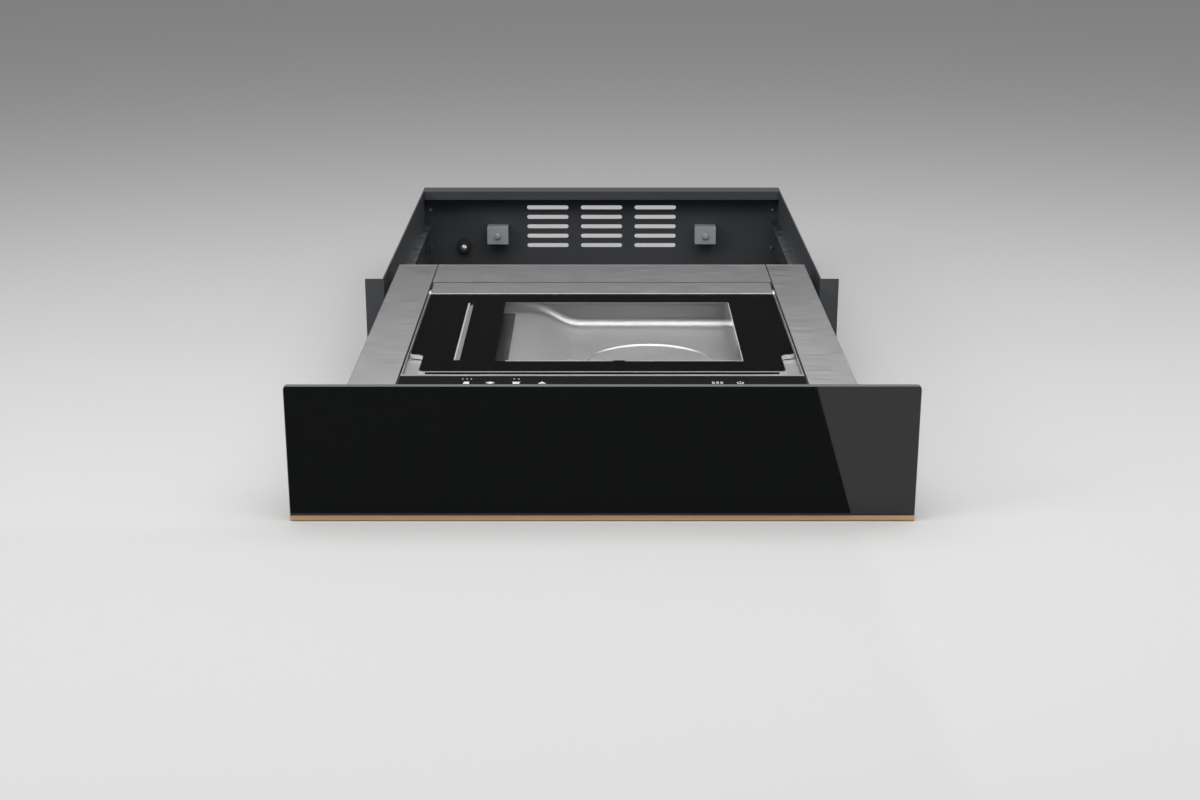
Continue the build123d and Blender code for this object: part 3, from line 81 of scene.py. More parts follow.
def new_finish(name, colour, roughness, metallic=0.0, **sockets):
    """A material with these constant values on its shader: the material, its node tree and its shader."""
    material = bpy.data.materials.new(name)
    material.use_nodes = True
    shader = material.node_tree.nodes["Principled BSDF"]
    shader.inputs["Base Color"].default_value = (*colour, 1)
    shader.inputs["Roughness"].default_value = roughness
    shader.inputs["Metallic"].default_value = metallic
    for socket, value in sockets.items():
        shader.inputs[socket.replace("_", " ")].default_value = value
    return material, material.node_tree, shader


def new_object(name, points, faces, materials, smooth_below=None):
    """A mesh object from points and faces, at the origin. Its four-cornered faces are smooth where they
    bend less than an angle; its flat ends stay flat."""
    mesh = bpy.data.meshes.new(name)
    mesh.from_pydata(np.asarray(points).tolist(), [], [list(map(int, face)) for face in faces])
    for material in materials:
        mesh.materials.append(material)
    if smooth_below is not None:
        mesh.set_sharp_from_angle(angle=radians(smooth_below))
        mesh.polygons.foreach_set("use_smooth", [len(face) == 4 for face in faces])
    mesh.update()
    piece = bpy.data.objects.new(name, mesh)
    scene.collection.objects.link(piece)
    return piece


def flat_card(name, corners, material):
    """A four-cornered card of the studio."""
    card = new_object(name, np.array(corners), [(0, 1, 2, 3)], [material])
    return card


floor_paint = new_finish("floor paint", (0.47, 0.47, 0.466), 0.9)[0]
floor_reach = 14.0
flat_card("floor", [(-floor_reach, -floor_reach, 0), (floor_reach, -floor_reach, 0),
                    (floor_reach, floor_reach, 0), (-floor_reach, floor_reach, 0)], floor_paint)

flag_cloth, cloth_tree, cloth_shader = new_finish("flag cloth", (0.020, 0.020, 0.021), 1.0)
path = put(cloth_tree, "ShaderNodeLightPath")
mirrored = put(cloth_tree, "ShaderNodeMath", {0: path.outputs["Glossy Depth"], 1: 0.5},
               operation="GREATER_THAN")
unseen = put(cloth_tree, "ShaderNodeBsdfTransparent")
cloth_mix = put(cloth_tree, "ShaderNodeMixShader", {0: mirrored.outputs[0], 1: unseen.outputs[0],
                                                    2: cloth_shader.outputs[0]})
cloth_tree.links.new(cloth_mix.outputs[0], cloth_tree.nodes["Material Output"].inputs["Surface"])
upright_reach = 0.75
upright_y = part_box("rear_cover")[1].y
upright_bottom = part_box("rear_cover")[1].z + mm
upright_top = 0.345
near_end, far_end = low[1] - 0.018, low[1] - 1.2
left_side, right_at_near_end, right_at_far_end = -0.9, 0.2402, 0.279
flags = [
    flat_card("flag_upright", [(-upright_reach, upright_y, upright_bottom),
                               (upright_reach, upright_y, upright_bottom),
                               (upright_reach, upright_y, upright_top),
                               (-upright_reach, upright_y, upright_top)], flag_cloth),
    flat_card("flag_on_floor", [(left_side, near_end, mm), (left_side, far_end, mm),
                                (right_at_far_end, far_end, mm),
                                (right_at_near_end, near_end, mm)], flag_cloth),
]
for flag in flags:
    for sight in ("camera", "diffuse", "shadow", "volume_scatter"):
        setattr(flag, f"visible_{sight}", False)

world = bpy.data.worlds.new("dome")
scene.world = world
world.use_nodes = True
dome = world.node_tree.nodes["Background"]
dome.inputs["Color"].default_value = (0.95, 0.955, 0.96, 1)
dome.inputs["Strength"].default_value = 0.42


def soft_lamp(name, place, target, size, power):
    """A rectangular lamp that faces a point, with its width and depth in metres and its power in watts."""
    light = bpy.data.lights.new(name, "AREA")
    light.shape = "RECTANGLE"
    light.size, light.size_y = size
    light.energy = power
    lamp = bpy.data.objects.new(name, light)
    scene.collection.objects.link(lamp)
    towards = np.array(target) - np.array(place)
    lamp.location = place
    lamp.rotation_euler = (np.arctan2(np.hypot(towards[0], towards[1]), -towards[2]), 0,
                           np.arctan2(-towards[0], towards[1]))


soft_lamp("overhead lamp", (0.25, -0.66, 1.6), (0.25, -0.50, 0.1), size=(2.8, 1.5), power=36.0)
soft_lamp("front lamp", (0.25, -1.55, 1.55), (0.25, -0.45, 0.1), size=(1.8, 0.6), power=7.0)
soft_lamp("left lamp", (-1.9, -1.5, 1.3), (0, -0.4, 0.1), size=(1.0, 1.0), power=22.0)
soft_lamp("right lamp", (1.9, -1.3, 1.3), (0, -0.4, 0.1), size=(1.0, 1.0), power=3.0)

# The camera, where the photograph was taken from: before the drawer and well above it, level in roll.
# It was fitted to the edges of the front, the lid and the flanges.
camera_data = bpy.data.cameras.new("camera")
camera_data.sensor_width = 36.0
camera_data.sensor_fit = "HORIZONTAL"
camera_data.lens = 53.67
camera_data.clip_end = 100
camera = bpy.data.objects.new("camera", camera_data)
scene.collection.objects.link(camera)
camera.location = (-0.0022, -2.289, 0.649)
camera.rotation_euler = (radians(71.65), 0, 0)
scene.camera = camera

# The housing that stands in the niche: a base, two sides and a back of folded sheet steel, screwed
# together and powder coated in dark slate grey, with flanges that show beside the drawer. The pan behind
# the glass front has the same coat.


def grain(tree, stretch, detail=2.0):
    """Noise on the piece's place in metres, each coordinate first multiplied by stretch: 0 to 1."""
    place = put(tree, "ShaderNodeTexCoord")
    drawn = put(tree, "ShaderNodeMapping", {"Vector": place.outputs["Object"], "Scale": stretch})
    noise = put(tree, "ShaderNodeTexNoise", {"Vector": drawn.outputs["Vector"], "Scale": 1.0,
                                             "Detail": detail})
    return noise.outputs["Fac"]


def between(tree, value, low_end, high_end, from_low=0.3, from_high=0.7):
    """A value carried from one range to another."""
    changed = put(tree, "ShaderNodeMapRange", {"Value": value, "From Min": from_low, "From Max": from_high,
                                               "To Min": low_end, "To Max": high_end})
    return changed.outputs["Result"]


def tint(tree, share, dark, light):
    """A colour between two others, each a constant or a pattern."""
    blend = put(tree, "ShaderNodeMix", {0: share}, data_type="RGBA")
    for socket, colour in ((6, dark), (7, light)):
        if isinstance(colour, bpy.types.NodeSocket):
            tree.links.new(colour, blend.inputs[socket])
        else:
            blend.inputs[socket].default_value = (*colour, 1)
    return blend.outputs[2]


def relief(tree, shader, height, depth, strength=1.0):
    """Lets a height pattern of this depth, in metres, bend the shader's normal."""
    bump = put(tree, "ShaderNodeBump", {"Height": height, "Distance": depth, "Strength": strength})
    tree.links.new(bump.outputs["Normal"], shader.inputs["Normal"])


def drive(tree, shader, socket, value):
    """Links a pattern to one of the shader's sockets."""
    tree.links.new(value, shader.inputs[socket])


def powder_coat(name, colour):
    """Powder coat: fine orange peel, with a slight cloud in its colour and gloss."""
    material, tree, shader = new_finish(name, colour, 0.5)
    cloud = grain(tree, (9, 9, 9), 4)
    peel = grain(tree, (900, 900, 900), 2)
    dark = tuple(part * 0.88 for part in colour)
    light = tuple(part * 1.14 for part in colour)
    drive(tree, shader, "Base Color", tint(tree, cloud, dark, light))
    drive(tree, shader, "Roughness", between(tree, peel, 0.42, 0.58))
    relief(tree, shader, peel, 0.00012, 0.6)
    return material


def dress(material, *names):
    """Gives CAD nodes this material."""
    for name in names:
        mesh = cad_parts[name].data
        mesh.materials.clear()
        mesh.materials.append(material)


slate_coat = powder_coat("slate powder coat", (0.038, 0.041, 0.046))
dress(slate_coat, "housing_base", "housing_side_left", "housing_side_right", "housing_back", "front_carrier")

# The screws of housing and chassis: steel with pan heads, zinc plated, bluish and slightly cloudy. They
# join the housing's sheets and hold the slides to both.


def zinc_plate(name, colour):
    """Bright zinc plate: metal with a cloudy gloss and faint rolling lines."""
    material, tree, shader = new_finish(name, colour, 0.3, 1.0)
    cloud = grain(tree, (60, 60, 60), 5)
    lines = grain(tree, (30, 1500, 1500), 2)
    dark = tuple(part * 0.8 for part in colour)
    drive(tree, shader, "Base Color", tint(tree, cloud, dark, colour))
    drive(tree, shader, "Roughness", between(tree, cloud, 0.24, 0.4))
    relief(tree, shader, lines, 0.00004, 0.3)
    return material


screw_zinc = zinc_plate("screw zinc", (0.62, 0.64, 0.66))
dress(screw_zinc, "housing_screws", "chassis_screws")

# The telescopic slides, three rolled steel channels on each side with a dark zinc finish. The outer one is
# screwed to the housing and the inner one to the chassis, and steel balls in cages run between them.
slide_zinc = zinc_plate("slide zinc", (0.34, 0.35, 0.37))
dress(slide_zinc, "slide_outer_left", "slide_outer_right", "slide_middle_left", "slide_middle_right",
      "slide_inner_left", "slide_inner_right")
ball_steel = zinc_plate("ball steel", (0.72, 0.72, 0.72))
dress(ball_steel, "ball_cages_outer", "ball_cages_inner")

# Moulded parts: of grey acetal the push latches on the housing's back wall, the valve block and the lid
# switch's plunger, and of black nylon the gland for the mains lead, the fans and the lid switch's body.


def moulded(name, colour, roughness=0.45):
    """Moulded plastic: fine spark-eroded grain, with a slight change of gloss."""
    material, tree, shader = new_finish(name, colour, roughness)
    texture = grain(tree, (2200, 2200, 2200), 2)
    flow = grain(tree, (25, 25, 25), 3)
    light = tuple(min(1, part * 1.2 + 0.003) for part in colour)
    drive(tree, shader, "Base Color", tint(tree, flow, colour, light))
    drive(tree, shader, "Roughness", between(tree, flow, roughness - 0.06, roughness + 0.08))
    relief(tree, shader, texture, 0.00004, 0.5)
    return material


grey_acetal = moulded("grey acetal", (0.23, 0.24, 0.25))
dress(grey_acetal, "push_latch_bodies", "latch_plunger_left", "latch_plunger_right", "lid_switch_plunger",
      "valve_block")
black_nylon = moulded("black nylon", (0.018, 0.018, 0.019))
dress(black_nylon, "mains_gland", "lid_switch_body", "fan_frame", "fan_rotor", "pump_fan")

# The drawer's chassis, which hangs between the slides, and the trough and brackets under the lid's hinge:
# galvanised sheet with its spangle, cut and folded.


def galvanised(name, colour):
    """Hot-dip zinc: cells of spangle, each with its own shade and gloss, under faint rolling lines."""
    material, tree, shader = new_finish(name, colour, 0.4, 1.0)
    place = put(tree, "ShaderNodeTexCoord")
    cells = put(tree, "ShaderNodeTexVoronoi", {"Vector": place.outputs["Object"], "Scale": 140.0})
    shade = put(tree, "ShaderNodeSeparateColor", {"Color": cells.outputs["Color"]})
    dark = tuple(part * 0.82 for part in colour)
    drive(tree, shader, "Base Color", tint(tree, shade.outputs["Red"], dark, colour))
    drive(tree, shader, "Roughness", between(tree, shade.outputs["Green"], 0.34, 0.52, 0, 1))
    relief(tree, shader, grain(tree, (40, 900, 900), 3), 0.00004, 0.3)
    return material


sheet_zinc = galvanised("galvanised sheet", (0.52, 0.53, 0.54))
dress(sheet_zinc, "drawer_chassis", "hinge_trough", "hinge_brackets")

# The front panel: 5.5 mm float glass painted black behind, with round upper corners. Its edges are
# ground and polished, so a thin light line shows along the top. It is bonded to the pan.


def rounded_outline(corners, radii, steps=7):
    """Closed outline, counterclockwise: each corner becomes an arc that touches both its edges. The arc's
    centre lies on the corner's bisector, and its points are centre plus radius times the turning normal."""
    corners = np.asarray(corners, float)
    radii = np.broadcast_to(np.asarray(radii, float), len(corners))
    ahead = np.roll(corners, -1, 0) - corners
    ahead /= np.linalg.norm(ahead, axis=1, keepdims=True)
    after = np.column_stack((ahead[:, 1], -ahead[:, 0]))
    before = np.roll(after, 1, 0)
    dot = np.sum(before * after, 1)
    turn = np.arctan2(before[:, 0] * after[:, 1] - before[:, 1] * after[:, 0], dot)
    side = np.sign(turn)[:, None]
    centre = corners - side * radii[:, None] * (before + after) / (1 + dot)[:, None]
    angle = np.arctan2(before[:, 1], before[:, 0])[:, None] + turn[:, None] * np.linspace(0, 1, steps)
    normal = np.stack((np.cos(angle), np.sin(angle)), -1)
    points = centre[:, None] + (side * radii[:, None])[:, None] * normal
    return points.reshape(-1, 2), normal.reshape(-1, 2)


def rectangle(x, y, radii, steps=7):
    """Outline of a rectangle with round corners, from its lower left corner on, and its normals."""
    return rounded_outline([(x[0], y[0]), (x[1], y[0]), (x[1], y[1]), (x[0], y[1])], radii, steps)


def slab(outline, normals, profile):
    """Closed slab: at each step of the profile the outline moves in by the first number, at the height of
    the second. Quads join the rings, and a flat face closes each end."""
    count = len(outline)
    rings = [np.column_stack((outline - inset * normals, np.full(count, height)))
             for inset, height in profile]
    around = np.arange(count)
    beside = (around + 1) % count
    faces = []
    for ring in range(len(profile) - 1):
        start, above = ring * count, (ring + 1) * count
        faces.extend(np.column_stack((around + start, beside + start, beside + above, around + above)))
    faces.append(around[::-1])
    faces.append(around + (len(profile) - 1) * count)
    return np.concatenate(rings), faces


def painted_glass(name, paint, edge_light, edges):
    """Glass painted dark behind: the paint, and ground glass grey beyond the planes where an edge shows."""
    material, tree, shader = new_finish(name, paint, 0.04, IOR=1.55)
    place = put(tree, "ShaderNodeTexCoord")
    split = put(tree, "ShaderNodeSeparateXYZ", {"Vector": place.outputs["Object"]})
    edge = 0.0
    for axis, low_end, high_end in edges:
        for end, compare in ((low_end, "LESS_THAN"), (high_end, "GREATER_THAN")):
            if end is not None:
                beyond = put(tree, "ShaderNodeMath", {0: split.outputs[axis], 1: end}, operation=compare)
                edge = put(tree, "ShaderNodeMath", {0: edge, 1: beyond.outputs[0]},
                           operation="MAXIMUM").outputs[0]
    smear = grain(tree, (30, 30, 30), 4)
    clean = between(tree, smear, 0.02, 0.05)
    drive(tree, shader, "Base Color", tint(tree, edge, paint, edge_light))
    ground = put(tree, "ShaderNodeMath", {0: edge, 1: 0.28, 2: clean}, operation="MULTIPLY_ADD")
    drive(tree, shader, "Roughness", ground.outputs[0])
    return material


glass_low, glass_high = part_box("front_glass")
lower_corner, upper_corner, front_steps = 0.3 * mm, 4 * mm, 9
arris = 0.6 * mm
rear_arris = arris * 0.3
front_outline, front_normals = rectangle((glass_low.x, glass_high.x), (glass_low.z, glass_high.z),
                                         (lower_corner, lower_corner, upper_corner, upper_corner),
                                         front_steps)
front_points, front_faces = slab(front_outline, front_normals, [
    (rear_arris, -glass_high.y), (0, -glass_high.y + rear_arris), (0, -glass_low.y - arris),
    (arris * 0.25, -glass_low.y - arris * 0.3), (arris, -glass_low.y)])
front_points = front_points[:, [0, 2, 1]] * (1, -1, 1)
front_black = painted_glass("front glass black", (0.004, 0.0045, 0.0045), (0.10, 0.112, 0.11),
                            (("X", glass_low.x + arris, glass_high.x - arris),
                             ("Z", None, glass_high.z - arris)))
front_glass = new_object("front_glass_polished", front_points, front_faces, [front_black], 40)
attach(front_glass, "drawer")
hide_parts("front_glass")

# The copper-coloured strip along the panel's lower edge: an aluminium angle, brushed along its length,
# anodised, and bonded under the panel.


def brushed(name, colour, stretch, rough_low, rough_high, depth=0.00004, across=(0, 1, 0), spread=0.25):
    """Brushed metal: fine lines drawn out along the axis whose stretch is least, darker and lighter by a
    share of the colour, which blur the gloss across them."""
    material, tree, shader = new_finish(name, colour, 0.3, 1.0, Anisotropic=0.6)
    direction = put(tree, "ShaderNodeCombineXYZ", {"X": across[0], "Y": across[1], "Z": across[2]})
    drive(tree, shader, "Tangent", direction.outputs["Vector"])
    fine = grain(tree, stretch, 4)
    dark = tuple(part * (1 - spread) for part in colour)
    light = tuple(min(1, part * (1 + 0.8 * spread)) for part in colour)
    drive(tree, shader, "Base Color", tint(tree, fine, dark, light))
    drive(tree, shader, "Roughness", between(tree, fine, rough_low, rough_high))
    relief(tree, shader, fine, depth, 0.5)
    return material


copper = brushed("copper anodised", (0.67, 0.43, 0.25), (6, 1500, 1500), 0.30, 0.42, across=(0, 0, 1))
dress(copper, "front_trim")

# The top of the drawer: side strips, the recessed deck with its ridge, the rear cover and the hinge
# rail, all of stainless steel brushed across the drawer. Their folded edges and steep faces are coloured
# darker: painted shade that tones down their highlight.


def paint_shade_where_steep(material, painted_shade_colour, steep, level):
    """Paints shade into a brushed material: another colour where its surface is steep, fully where its
    normal's upward part is below the first share, and not at all above the second."""
    tree = material.node_tree
    shader = tree.nodes["Principled BSDF"]
    level_colour = shader.inputs["Base Color"].links[0].from_socket
    place = put(tree, "ShaderNodeTexCoord")
    facing = put(tree, "ShaderNodeSeparateXYZ", {"Vector": place.outputs["Normal"]})
    share = between(tree, facing.outputs["Z"], 1, 0, steep, level)
    drive(tree, shader, "Base Color", tint(tree, share, level_colour, painted_shade_colour))


cross_brushed = brushed("steel brushed across", (0.60, 0.60, 0.597), (26, 620, 620), 0.35, 0.43, spread=0.32)
# Painted shade on the strips' folded edges and steep faces.
paint_shade_where_steep(cross_brushed, (0.30, 0.30, 0.298), 0.6, 0.95)
dress(cross_brushed, "side_trim_left", "side_trim_right", "deck_plate", "rear_cover", "lid_hinge_rail")

# The touch strip: a plate of black glass behind the front, bonded over the touch board, with its keys
# printed in white: four programmes and their steps, a keypad and the power key.
strip_low, strip_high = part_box("control_glass")
ground_edge = 0.4 * mm
strip_black = painted_glass("touch strip black", (0.008, 0.008, 0.008), (0.10, 0.11, 0.11),
                            (("X", strip_low.x + ground_edge, strip_high.x - ground_edge),
                             ("Y", strip_low.y + ground_edge, strip_high.y - ground_edge)))
dress(strip_black, "control_glass")


def uneven_gloss(name, colour, stretch, detail, rough_low, rough_high, **sockets):
    """A finish of one colour whose roughness wanders between two values over the piece."""
    material, tree, shader = new_finish(name, colour, rough_low, **sockets)
    drive(tree, shader, "Roughness", between(tree, grain(tree, stretch, detail), rough_low, rough_high))
    return material


white_ink = uneven_gloss("white ink", (0.62, 0.62, 0.62), (900, 900, 900), 2, 0.4, 0.6)


def disc(x, y, radius, steps=20):
    """Outline of a dot."""
    angle = np.linspace(0, 2 * np.pi, steps, endpoint=False)
    return np.column_stack((x + radius * np.cos(angle), y + radius * np.sin(angle)))


def arc_band(x, y, radius, width, start, end, steps=28):
    """Outline of part of a ring, between two angles in degrees."""
    angle = np.radians(np.linspace(start, end, steps))
    turn = np.column_stack((np.cos(angle), np.sin(angle)))
    return np.concatenate(((radius + width / 2) * turn, (radius - width / 2) * turn[::-1])) + (x, y)


def moved(outline, x, y):
    """An outline given about its own middle, moved there."""
    return np.asarray(outline, float) + (x, y)


def printed(name, outlines, scale, bottom, top, material):
    """Raised print: each outline, in drawing units, becomes a thin closed slab."""
    points, faces, start = [], [], 0
    for outline in outlines:
        outline = np.asarray(outline) * scale
        part_points, part_faces = slab(outline, np.zeros_like(outline), [(0, bottom), (0, top)])
        points.append(part_points)
        faces.extend([face + start for face in part_faces])
        start += len(part_points)
    return new_object(name, np.concatenate(points), faces, [material])


# The keys' places in millimetres: behind the front glass, and across from the drawer's middle.
keys_behind, dots_behind = 52.0, 64.0
jar_x, layers_x, box_x, dome_x, keypad_x, power_x = -131, -108, -83, -58, 107, 133
dot_radius = 0.8
column_pitch, row_pitch = 4, 2.2
keys = [
    moved([(-3, -3.4), (3, -3.4), (2.4, 1.6), (-2.4, 1.6)], jar_x, 0),
    moved([(-2.4, 2.4), (2.4, 2.4), (3, 3.4), (-3, 3.4)], jar_x, 0),
    moved([(-4.4, -0.6), (0, -3.2), (4.4, -0.6), (0, 2)], layers_x, 0),
    moved([(-4.4, 1.1), (0, 3.7), (4.4, 1.1), (4.4, 0.4), (0, 3), (-4.4, 0.4)][::-1], layers_x, 0),
    moved([(-3.2, -3.2), (3.2, -3.2), (3.2, 1.2), (-3.2, 1.2)], box_x, 0),
    moved([(-4, 2), (4, 2), (4, 3), (-4, 3)], box_x, 0),
    moved([(-3.8, -3.2), (3.8, -3.2), (3.8, -2.3), (-3.8, -2.3)], dome_x, 0),
    arc_band(dome_x, -1.5, 1.5, 3.0, 0, 180),
    disc(dome_x, 2.7, dot_radius),
    arc_band(power_x, 0, 2.9, 0.9, 125, 415),
    moved([(-0.45, 0.6), (0.45, 0.6), (0.45, 4), (-0.45, 4)], power_x, 0),
]
keys += [moved([(-1.3, -0.5), (1.3, -0.5), (1.3, 0.5), (-1.3, 0.5)],
               keypad_x + column_pitch * column, row_pitch * row)
         for column in range(3) for row in (-1, 0, 1)]
keys = [key + (0, keys_behind) for key in keys]
keys += [disc(x, dots_behind, dot_radius)
         for x in (jar_x - 4.2, jar_x, jar_x + 4.2, box_x - 2.2, box_x + 2.2)]
keys = [key + (0, low[1] / mm) for key in keys]
ink_thickness = 0.05 * mm
key_print = printed("touch_keys", keys, mm, strip_high.z, strip_high.z + ink_thickness, white_ink)
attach(key_print, "drawer")

# Circuit boards, green with solder mask, and the lead between them. The power board carries its parts on
# top: capacitors in dark sleeves, black relays, a choke, a terminal block and an aluminium heat sink. The
# touch board carries black chips below.


def within(tree, lower, upper):
    """1 where the piece's place lies in the box between two corners, and 0 elsewhere."""
    lower, upper = np.array(lower), np.array(upper)
    place = put(tree, "ShaderNodeTexCoord")
    from_middle = put(tree, "ShaderNodeVectorMath", {0: place.outputs["Object"], 1: (lower + upper) / 2},
                      operation="SUBTRACT")
    distance = put(tree, "ShaderNodeVectorMath", {0: from_middle.outputs["Vector"]}, operation="ABSOLUTE")
    outside = put(tree, "ShaderNodeVectorMath", {0: distance.outputs["Vector"], 1: (upper - lower) / 2},
                  operation="SUBTRACT")
    parts = put(tree, "ShaderNodeSeparateXYZ", {"Vector": outside.outputs["Vector"]})
    level = put(tree, "ShaderNodeMath", {0: parts.outputs["X"], 1: parts.outputs["Y"]}, operation="MAXIMUM")
    most = put(tree, "ShaderNodeMath", {0: level.outputs[0], 1: parts.outputs["Z"]}, operation="MAXIMUM")
    return put(tree, "ShaderNodeMath", {0: most.outputs[0], 1: 0.0}, operation="LESS_THAN").outputs[0]


def circuit_board(name, components):
    """Green solder mask over copper tracks that show lighter, with another colour in each part's box."""
    material, tree, shader = new_finish(name, (0.02, 0.13, 0.06), 0.3)
    place = put(tree, "ShaderNodeTexCoord")
    tracks = put(tree, "ShaderNodeTexBrick", {"Vector": place.outputs["Object"], "Scale": 260.0,
                                              "Mortar Size": 0.08})
    shade = tint(tree, tracks.outputs["Fac"], (0.015, 0.11, 0.05), (0.05, 0.2, 0.09))
    for lower, upper, colour in components:
        shade = tint(tree, within(tree, lower, upper), shade, colour)
    drive(tree, shader, "Base Color", shade)
    drive(tree, shader, "Roughness", between(tree, grain(tree, (400, 400, 400), 3), 0.25, 0.45))
    return material


board_low, board_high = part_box("power_board")
board_middle = (board_low.x + board_high.x) / 2
standoff, board_thickness, hair = 8 * mm, 1.6 * mm, 0.1 * mm
board_top = board_low.z + standoff + board_thickness + hair
# Each component's area in millimetres, across from the board's middle and back from its front end, with
# its colour: the capacitors, the relays, the choke, the terminal block and the heat sink.
board_areas = [
    ((14, 38), (26, 80), (0.016, 0.022, 0.055)),
    ((5, 35), (103, 169), (0.02, 0.02, 0.021)),
    ((-31, 1), (149, 177), (0.42, 0.22, 0.07)),
    ((-45, -3), (3, 17), (0.03, 0.16, 0.11)),
    ((-41, -13), (49, 111), (0.50, 0.50, 0.51)),
]
board_components = [((board_middle + side[0] * mm, board_low.y + along[0] * mm, board_top),
                     (board_middle + side[1] * mm, board_low.y + along[1] * mm, board_high.z + mm), colour)
                    for side, along, colour in board_areas]
dress(circuit_board("power board", board_components), "power_board")
touch_low, touch_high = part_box("touch_board")
chip_top = touch_high.z - board_thickness - hair
chip_area = ((touch_low.x, touch_low.y, touch_low.z - mm), (touch_high.x, touch_high.y, chip_top),
             (0.018, 0.018, 0.019))
dress(circuit_board("touch board", [chip_area]), "touch_board")
dress(black_nylon, "control_lead")

# The vacuum chamber: a stainless bowl pressed from one sheet, satin finished inside, with a ramp up
# to the seal bar and a round bead in its floor. It hangs from the deck by its flange. Its steep walls
# are coloured much darker than its floor: painted shade.
chamber_steel = brushed("chamber steel", (0.88, 0.878, 0.872), (14, 520, 520), 0.33, 0.39, 0.000004,
                        spread=0.22)
# Painted shade: the chamber's walls darker than its floor.
paint_shade_where_steep(chamber_steel, (0.26, 0.258, 0.255), 0.15, 0.5)
dress(chamber_steel, "chamber_basin")

# The gasket, laid on its shelf round the chamber: black silicone rubber, dusty with handling, in an
# extruded section with two lips that the lid presses flat. The pump stands on mounts of the same rubber.


def rubber(name, colour):
    """Silicone rubber: dull, with a fine cloud of dust that lightens it."""
    material, tree, shader = new_finish(name, colour, 0.62)
    dust = grain(tree, (300, 300, 300), 4)
    light = tuple(part * 1.5 + 0.004 for part in colour)
    drive(tree, shader, "Base Color", tint(tree, dust, colour, light))
    drive(tree, shader, "Roughness", between(tree, dust, 0.55, 0.75))
    relief(tree, shader, dust, 0.00005, 0.4)
    return material


def hoop(outline, normals, section):
    """Closed ring: each corner of the section gives a loop, moved in from the outline by its first number, at
    the height of its second. Quads join each loop to the next, and the last to the first."""
    count = len(outline)
    loops = [np.column_stack((outline - inset * normals, np.full(count, height)))
             for inset, height in section]
    around = np.arange(count)
    beside = (around + 1) % count
    faces = []
    for loop in range(len(section)):
        start, above = loop * count, (loop + 1) % len(section) * count
        faces.extend(np.column_stack((around + start, beside + start, beside + above, around + above)))
    return np.concatenate(loops), faces


gasket_low, gasket_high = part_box("chamber_gasket")
gasket_corner, gasket_steps = 37.5 * mm, 16
gasket_shape = rectangle((gasket_low.x, gasket_high.x), (gasket_low.y, gasket_high.y), gasket_corner,
                         gasket_steps)
# The section in millimetres, in from the gasket's outer edge and up from its shelf.
lip_section = [(0, 0), (0, 5.4), (0.5, 6.6), (1.6, 7.2), (2.7, 6.8), (3.4, 5.6), (4.6, 5.6), (5.3, 6.8),
               (6.4, 7.2), (7.5, 6.6), (8, 5.4), (8, 0)]
black_rubber = rubber("black silicone", (0.016, 0.016, 0.017))
gasket = new_object("gasket_with_lips", *hoop(*gasket_shape, [(inset * mm, gasket_low.z + height * mm)
                                                             for inset, height in lip_section]),
                    [black_rubber], 50)
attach(gasket, "drawer")
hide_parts("chamber_gasket")
dress(black_rubber, "pump_mounts")
pale_silicone = rubber("pale silicone", (0.45, 0.44, 0.42))
dress(pale_silicone, "counter_pad", "vacuum_hose")

# The seal bar's cradle: heat-proof glass-filled plastic, matt black. It turns paler towards its right
# edge, in patches: painted light for the light that falls on it there through the window.


def plastic_with_painted_light(name, colour, painted_light_colour, start, end):
    """Matt plastic with painted light: it turns from one colour to a paler one between two places across the
    drawer, in patches.
    """
    material, tree, shader = new_finish(name, colour, 0.85, Specular_IOR_Level=0.0)
    place = put(tree, "ShaderNodeTexCoord")
    split = put(tree, "ShaderNodeSeparateXYZ", {"Vector": place.outputs["Object"]})
    painted_light_share = between(tree, split.outputs["X"], 0, 1, start, end)
    patches = between(tree, grain(tree, (120, 14, 120), 4), 0.75, 1.0)
    patchy_painted_light = put(tree, "ShaderNodeMath", {0: painted_light_share, 1: patches}, operation="MULTIPLY")
    drive(tree, shader, "Base Color", tint(tree, patchy_painted_light.outputs[0], colour, painted_light_colour))
    relief(tree, shader, grain(tree, (2200, 2200, 2200), 2), 0.00004, 0.5)
    return material


cradle_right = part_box("seal_bar_cradle")[1].x
painted_light_start, painted_light_end = cradle_right - 17 * mm, cradle_right + 3 * mm
# Painted light: the cradle turns paler towards its right edge.
cradle_black = plastic_with_painted_light("matt black polyimide", (0.006, 0.006, 0.006), (0.09, 0.09, 0.09),
                              painted_light_start, painted_light_end)
dress(cradle_black, "seal_bar_cradle")

# The seal bar: an aluminium bar with a heating strip under glass-cloth tape, on two pistons that
# lift it against the counter bar in the lid. The pistons are polished steel rods, and so are the hinge's
# pins and springs, the pump's shaft and the valve's plunger.
mill_aluminium = brushed("mill aluminium", (0.78, 0.78, 0.785), (900, 12, 900), 0.28, 0.42, across=(1, 0, 0))
dress(mill_aluminium, "seal_bar", "seal_lift_cylinders", "counter_bar")


def cloth_tape(name):
    """Glass cloth soaked in a tan coating: a plain weave of threads 0.5 mm apart."""
    material, tree, shader = new_finish(name, (0.42, 0.30, 0.17), 0.42)
    place = put(tree, "ShaderNodeTexCoord")
    weave = put(tree, "ShaderNodeTexChecker", {"Vector": place.outputs["Object"], "Scale": 2000.0})
    drive(tree, shader, "Base Color", tint(tree, weave.outputs["Fac"], (0.34, 0.24, 0.13),
                                           (0.50, 0.37, 0.22)))
    relief(tree, shader, weave.outputs["Fac"], 0.00005, 0.6)
    return material


tape = cloth_tape("coated glass cloth")
dress(tape, "seal_band")
polished_rod = zinc_plate("polished rod", (0.78, 0.78, 0.78))
dress(polished_rod, "seal_bar_pistons", "lid_hinge_pins", "pump_rotor", "valve_plunger", "hinge_springs")
